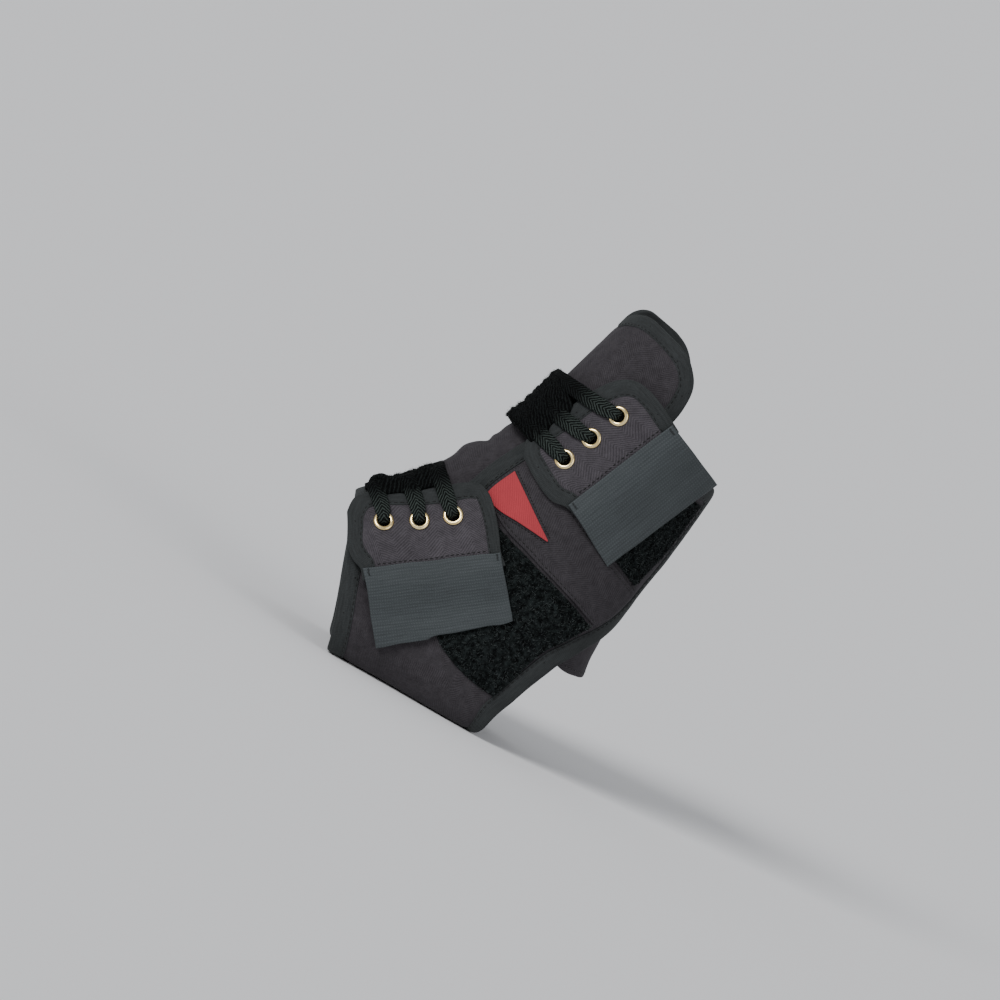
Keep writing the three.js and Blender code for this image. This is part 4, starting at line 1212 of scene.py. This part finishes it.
def eyelet(name, place, low, high, clinched):
    """A rolled brass eyelet, turned round its own axis."""
    seat = high + CLEAR - 0.12
    base = low - CLEAR - ROLL_THICK if clinched else low
    # Distance from the axis, and lift
    profile = [
        (2.62, base), (4.0, base), (4.05, base + ROLL_THICK), (3.25, base + ROLL_THICK + 0.02), (3.25, seat),
        (4.55, seat), (4.78, seat + 0.05), (4.82, seat + 0.2), (4.72, seat + 0.42), (4.45, seat + 0.68),
        (4.1, seat + 0.86), (3.7, seat + 0.92), (3.3, seat + 0.84), (2.98, seat + 0.62), (2.78, seat + 0.3),
        (2.68, seat - 0.1), (2.62, seat - 0.8),
    ]
    if not clinched:
        profile[1:4] = [(3.25, base)]
    angle = turns(56)
    axis = frame_at(*place)[2]
    side = unit(np.cross(axis, [0.3, 0.2, 1.0]))
    other = np.cross(axis, side)
    spokes = np.cos(angle)[:, None] * side + np.sin(angle)[:, None] * other
    rings = np.array([form_point(*place) + axis * lift + radius * spokes for radius, lift in profile])
    tube(name, rings, np.zeros_like(rings), True, BRASS, "brass", (name,))


# Laces

OVER_RIM = CLEAR + FLANGE_THICK + CLEAR + LACE_THICK / 2  # a lace's lift over what its eyelet sits on
CHEVRON_SLANT = 1.25
CHEVRON_LENGTH = 1.9


def braid(middle, flat, half_width, half_thick, tone, seed):
    """A flat braid along a line: its points, faces and cloth, its rings and their directions outwards."""
    tangent = unit(np.gradient(middle, axis=0))
    flat = unit(flat - tangent * dot(flat, tangent)[:, None])
    thick = np.cross(tangent, flat)
    angle = turns(20)
    power = 0.72
    across = np.sign(np.cos(angle)) * np.abs(np.cos(angle)) ** power
    up = np.sign(np.sin(angle)) * np.abs(np.sin(angle)) ** power
    run = run_of(middle)[:, None]
    wide, deep = across[None] * half_width[:, None], up[None] * half_thick[:, None]
    rings = middle[:, None] + flat[:, None] * wide[..., None] + thick[:, None] * deep[..., None]
    out = unit(rings - middle[:, None])
    floats = np.sin((run - CHEVRON_SLANT * np.abs(wide)) * 2 * math.pi / CHEVRON_LENGTH)
    lumps = 0.1 * floats * (np.abs(across[None]) < 0.97) + 0.09 * ripples(rings, 2.4, seed, 9)
    rings = rings + out * lumps[..., None]
    cloth = np.stack(np.broadcast_arrays(wide, run, tone[:, None]), -1)
    return tube_parts(rings, cloth, False), rings, out


def strand_steps(tab, near, far, meeting):
    """The lace's way, as places, lifts and widths from 0 to 1.

    It comes out of the far eyelet, over the front, down through the tab's eyelet and back.
    """
    rim, far_rim = TAB_TOP + OVER_RIM, PANEL_TOP + OVER_RIM
    near, far, meeting = (np.array(p, float) for p in (near, far, meeting))
    front = np.array([(near[0] + far[0]) / 2 + tab["lean"], 0.0])
    near_front = np.array([(near[0] + front[0]) / 2, near[1] * LACE_EDGE])
    far_front = np.array([(far[0] + front[0]) / 2, far[1] * LACE_EDGE])

    def beside(place, distance):
        return walk(place[None], (form_point(*front) - form_point(*place))[None], distance)[0]

    def slope(edge, share):
        return edge + (tab["crown"] - edge) * share ** tab["drape"]

    def run(start, end, count, lift):
        return [(place, lift((k + 1) / count), 1.0) for k, place in enumerate(stretch(start, end, count))]

    return [
        (far, PANEL_LIFT + 1, 0.0),
        (far, PANEL_TOP, 0.0),
        (beside(far, 1), far_rim - 0.2, 0.2),
        (beside(far, 3.2), far_rim + 0.1, 0.7),
        (beside(far, 7), far_rim, 1.0),
        *run(beside(far, 7), far_front, 2, lambda share: far_rim),
        *run(far_front, front, 4, lambda share: slope(far_rim, share)),
        *run(front, near_front, 4, lambda share: slope(rim, 1 - share)),
        *run(near_front, beside(near, 7), 2, lambda share: rim),
        (beside(near, 3.2), rim + 0.1, 0.7),
        (beside(near, 1), rim - 0.2, 0.2),
        (near, TAB_TOP, 0.0),
        (near, TAB_LIFT, 0.0),
        (beside(near, 0.5), LACE_LIFT + 0.25, 0.0),
        (beside(near, 3), LACE_LIFT - 0.1, 0.3),
        *run(beside(near, 3), near_front, 3, lambda share: LACE_LIFT),
        *run(near_front, meeting, 3, lambda share: slope(LACE_LIFT, share)),
    ]


def strand(steps, seed, near_t):
    """The braid along a lace's way, wider and thicker over the front."""
    factor = 7
    places, lifts, widths = (np.array(column) for column in zip(*steps))
    middle = refine(on_form(*places.T, lifts), factor)
    along = refine(unit(frame_at(*places.T)[0]), factor)
    widening = np.clip(refine(widths[:, None], factor)[:, 0], 0, 1)
    t = np.abs(refine(places[:, 1:], factor)[:, 0])
    front = np.exp(-((t / 20) ** 2))
    half_width = (LACE_NECK + (LACE_WIDTH - LACE_NECK) * widening) / 2 * (1.2 + 0.25 * front)
    half_thick = LACE_THICK / 2 * (1.1 + 0.5 * front)
    rng = np.random.default_rng(seed)
    wobble = 0.5 * np.sin(np.linspace(0, 5 * math.pi, len(middle)) + rng.uniform(0, 6)) * widening
    middle = middle + unit(along) * wobble[:, None] * 0.6
    # The tone runs from 0 over the front, where the lace is painted near black as shade, to 1 towards its
    # eyelet.
    tone = smooth((t / near_t - 0.6) / 0.25)
    return braid(middle, along, half_width, half_thick, tone, seed)


def fuzz(name, spots, outwards, count, length, seed, tone=0.5):
    """Loose fibres standing off a surface, each a thin bent ribbon."""
    rng = np.random.default_rng(seed)
    spots, out = spots.reshape(-1, 3), outwards.reshape(-1, 3)
    pick = rng.integers(0, len(spots), count)
    root = spots[pick] + rng.normal(scale=0.25, size=(count, 3))
    way = unit(out[pick] * 0.7 + rng.normal(scale=0.6, size=(count, 3)))
    bend = rng.normal(scale=0.45, size=(count, 3))
    side = unit(np.cross(way, rng.normal(size=(count, 3)))) * 0.035
    size = length * rng.uniform(0.4, 1.2, (count, 1))
    points = []
    for share, width in ((0.0, 1.0), (0.5, 0.8), (1.0, 0.3)):
        middle = root + way * size * share + bend * size * share**2 * 0.6
        points += [middle - side * width, middle + side * width]
    points = np.stack(points, 1).reshape(-1, 3)
    starts = np.arange(count)[:, None, None] * 6
    faces = (np.array([[0, 1, 3, 2], [2, 3, 5, 4]])[None] + starts).reshape(-1, 4)
    cloth = np.zeros((len(points), 3))
    cloth[:, 2] = tone
    make_mesh(name, points, faces, cloth, LACE, "lace")


def bunch(tab, seed):
    """The laces drawn together over the front: rows of braid pressed side by side, with a lumpy top."""
    name = f"{tab['name']}_lace_bunch"
    start, end = tab["bunch"]
    rows, columns = 120, 90
    v = np.linspace(start, end, rows)[:, None]
    share = np.linspace(-1, 1, columns)[None]
    # It comes down further where each strand leaves it
    near_v = np.array([p[0] for p in tab["eyelets"]])
    reach = 0.017 if tab["name"] == "lower" else 0.0204
    tongues = np.exp(-(((v - near_v[None]) / reach) ** 2)).sum(1)[:, None]
    edge_t = tab["eyelets"][1][1] * LACE_EDGE
    ends = 0.6 + 0.4 * smooth((v - start) / 0.02) * smooth((end - v) / 0.02)
    near_t, far_t = (edge_t + tab["overhang"] + 4 * tongues) * ends, edge_t * 1.1 * ends
    t = share * np.where(share > 0, near_t, far_t)
    grid = Grid(np.stack(np.broadcast_arrays(v, t), -1))
    rim = np.where(t > 0, TAB_TOP, PANEL_TOP) + OVER_RIM
    base = rim + (tab["crown"] - rim) * np.clip(1 - np.abs(t) / edge_t, 0, 1) ** tab["drape"]
    row_width, pitch = 5.4, 1.6
    y = grid.y + 1.5 * ripples(grid.spots, 18, seed)
    bands = np.abs(np.sin(y * math.pi / row_width)) ** 0.6
    braids = np.sin((grid.x - 1.2 * np.abs(y % row_width - row_width / 2)) * 2 * math.pi / pitch)
    lumps = 0.45 * ripples(grid.spots, 5, seed + 1) + 0.3 * ripples(grid.spots, 2.2, seed + 2, 12)
    high = base - 0.8 + bulge(grid.edge(), 4) * (0.9 + 0.9 * bands + 0.9 * lumps + 0.2 * braids)
    # It lies on the tongue, and keeps some thickness everywhere
    low = np.minimum(base - 1.3, high - 0.3)
    low = np.maximum(low, TONGUE_THICK + 0.4 + fold_lift(grid.v, grid.t))
    high = np.maximum(high, low + 0.25)
    # The cloth's tone is 0 here, so the whole mass is painted near black, as shade.
    wall(name, grid, low, high, LACE, "lace")
    fuzz(f"{name}_fuzz", grid.at(high), grid.normals, 5000, 1.0, seed + 5, tone=0.3)


def knot(seed):
    """A loop of lace that stands out of the lower mass."""
    v, t, lift = KNOT_PLACE
    arch = [
        (v + 0.035, t + 14, lift - 2.2), (v + 0.03, t + 4, lift + 0.6), (v + 0.012, t, lift + 1.6),
        (v - 0.012, t + 2, lift + 1.0), (v - 0.02, t + 8, lift - 1.4),
    ]
    middle = refine(np.array([on_form(*place) for place in arch]), 8)
    flat = np.tile(unit(frame_at(v, t)[1]), (len(middle), 1))
    every = np.ones(len(middle))
    # At tone 0 the loop is painted near black, as shade, like the lace over the front.
    return braid(middle, flat, 2.4 * every, 1.7 * every, 0 * every, seed)


def lace(tab, seed):
    """All strands of one lace, with the loop on the lower one."""
    near, far = tab["eyelets"], tab["far_eyelets"]
    strands = []
    for i in range(len(near)):
        following = i + 1 if i + 1 < len(near) else i - 1
        meeting = [(near[following][0] + far[following][0]) / 2 + tab["lean"], 0]
        strands.append(strand(strand_steps(tab, near[i], far[i], meeting), seed + i, near[i][1]))
    if tab["name"] == "lower":
        strands.append(knot(seed + 9))
    parts, rings, outs = zip(*strands)
    name = f"{tab['name']}_lace"
    joined(name, parts, LACE, "lace", (name,))
    spots, outwards = (np.concatenate([a.reshape(-1, 3) for a in group]) for group in (rings, outs))
    fuzz(f"{name}_fuzz", spots, outwards, 4000, 0.8, seed + 20)


# The brace

tongue()
back_panel()
side_panel("near_panel", False)
side_panel("far_panel", True)
sole()
loop_patch("lower_loop_patch", LOOP_LOW, rows=60, columns=70, curls=4600, seed=101)
loop_patch("upper_loop_patch", LOOP_HIGH, rows=50, columns=90, curls=4200, seed=111)
stay_cover()
wedge_patch()
for number, one in enumerate(TABS):
    tab_piece(one)
    lace(one, 201 + 30 * number)
    bunch(one, 301 + 30 * number)

# Floor, lights and camera

AZIMUTH, ELEVATION, ROLL = math.radians(3), math.radians(5), math.radians(30.5)
SPAN = 0.47  # metres across the picture, at the brace
DISTANCE = 5.0
PICTURE = 1000  # pixels across
SOLE_CORNER = (466, 723)  # the pixel of the sole's near rear corner
SOLE_CORNER_X = 0.03737  # metres

right = np.array([math.cos(AZIMUTH), -math.sin(AZIMUTH), 0])
level = np.array([-math.sin(AZIMUTH), -math.cos(AZIMUTH), 0])
back = level * math.cos(ELEVATION) + np.array([0, 0, math.sin(ELEVATION)])
up = np.cross(back, right)
image_right = right * math.cos(ROLL) + up * math.sin(ROLL)
image_up = up * math.cos(ROLL) - right * math.sin(ROLL)


def spot_in_view(x, y, towards):
    """A point in space, from its pixel in the picture and its distance towards the camera."""
    anchor = np.array([SOLE_CORNER_X, 0, 0])
    scale = SPAN / PICTURE
    across, upwards = (x - SOLE_CORNER[0]) * scale, (SOLE_CORNER[1] - y) * scale
    return anchor + image_right * across + image_up * upwards + back * towards


def floor():
    mesh = bpy.data.meshes.new("floor")
    count, radius = 64, 90.0
    ring = [(radius * math.cos(a), radius * math.sin(a), 0) for a in turns(count)]
    mesh.from_pydata([(0, 0, 0)] + ring, [], [(0, k + 1, (k + 1) % count + 1) for k in range(count)])
    s = Shader("floor_paint", 0.9)
    s.colour((0.86, 0.86, 0.875, 1))
    mesh.materials.append(s.material)
    add_object("floor", mesh)


def sun(name, towards, power, spread):
    """A wide soft light from far away, which lights the floor evenly."""
    data = bpy.data.lights.new(name, "SUN")
    data.energy = power
    data.angle = math.radians(spread)
    obj = add_object(name, data)
    obj.location = towards
    obj.rotation_euler = (-Vector(towards)).to_track_quat("-Z", "Y").to_euler()


def camera():
    data = bpy.data.cameras.new("camera")
    data.sensor_width = 36
    data.lens = data.sensor_width * DISTANCE / SPAN
    data.clip_start, data.clip_end = 0.1, 300
    obj = add_object("camera", data)
    turn = Matrix([list(image_right), list(image_up), list(back)]).transposed().to_4x4()
    turn.translation = spot_in_view(PICTURE / 2, PICTURE / 2, DISTANCE)
    obj.matrix_world = turn
    bpy.context.scene.camera = obj


def world():
    surroundings = bpy.data.worlds.new("studio")
    surroundings.use_nodes = True
    shade = surroundings.node_tree.nodes["Background"]
    shade.inputs["Color"].default_value = (0.95, 0.97, 1.0, 1)
    shade.inputs["Strength"].default_value = 0.45
    bpy.context.scene.world = surroundings


floor()
world()
camera()
sun("key", back + image_up * 0.85 - image_right * 0.3, 2.6, 22)
sun("fill", back + image_right * 0.9 - image_up * 0.1, 0.7, 40)
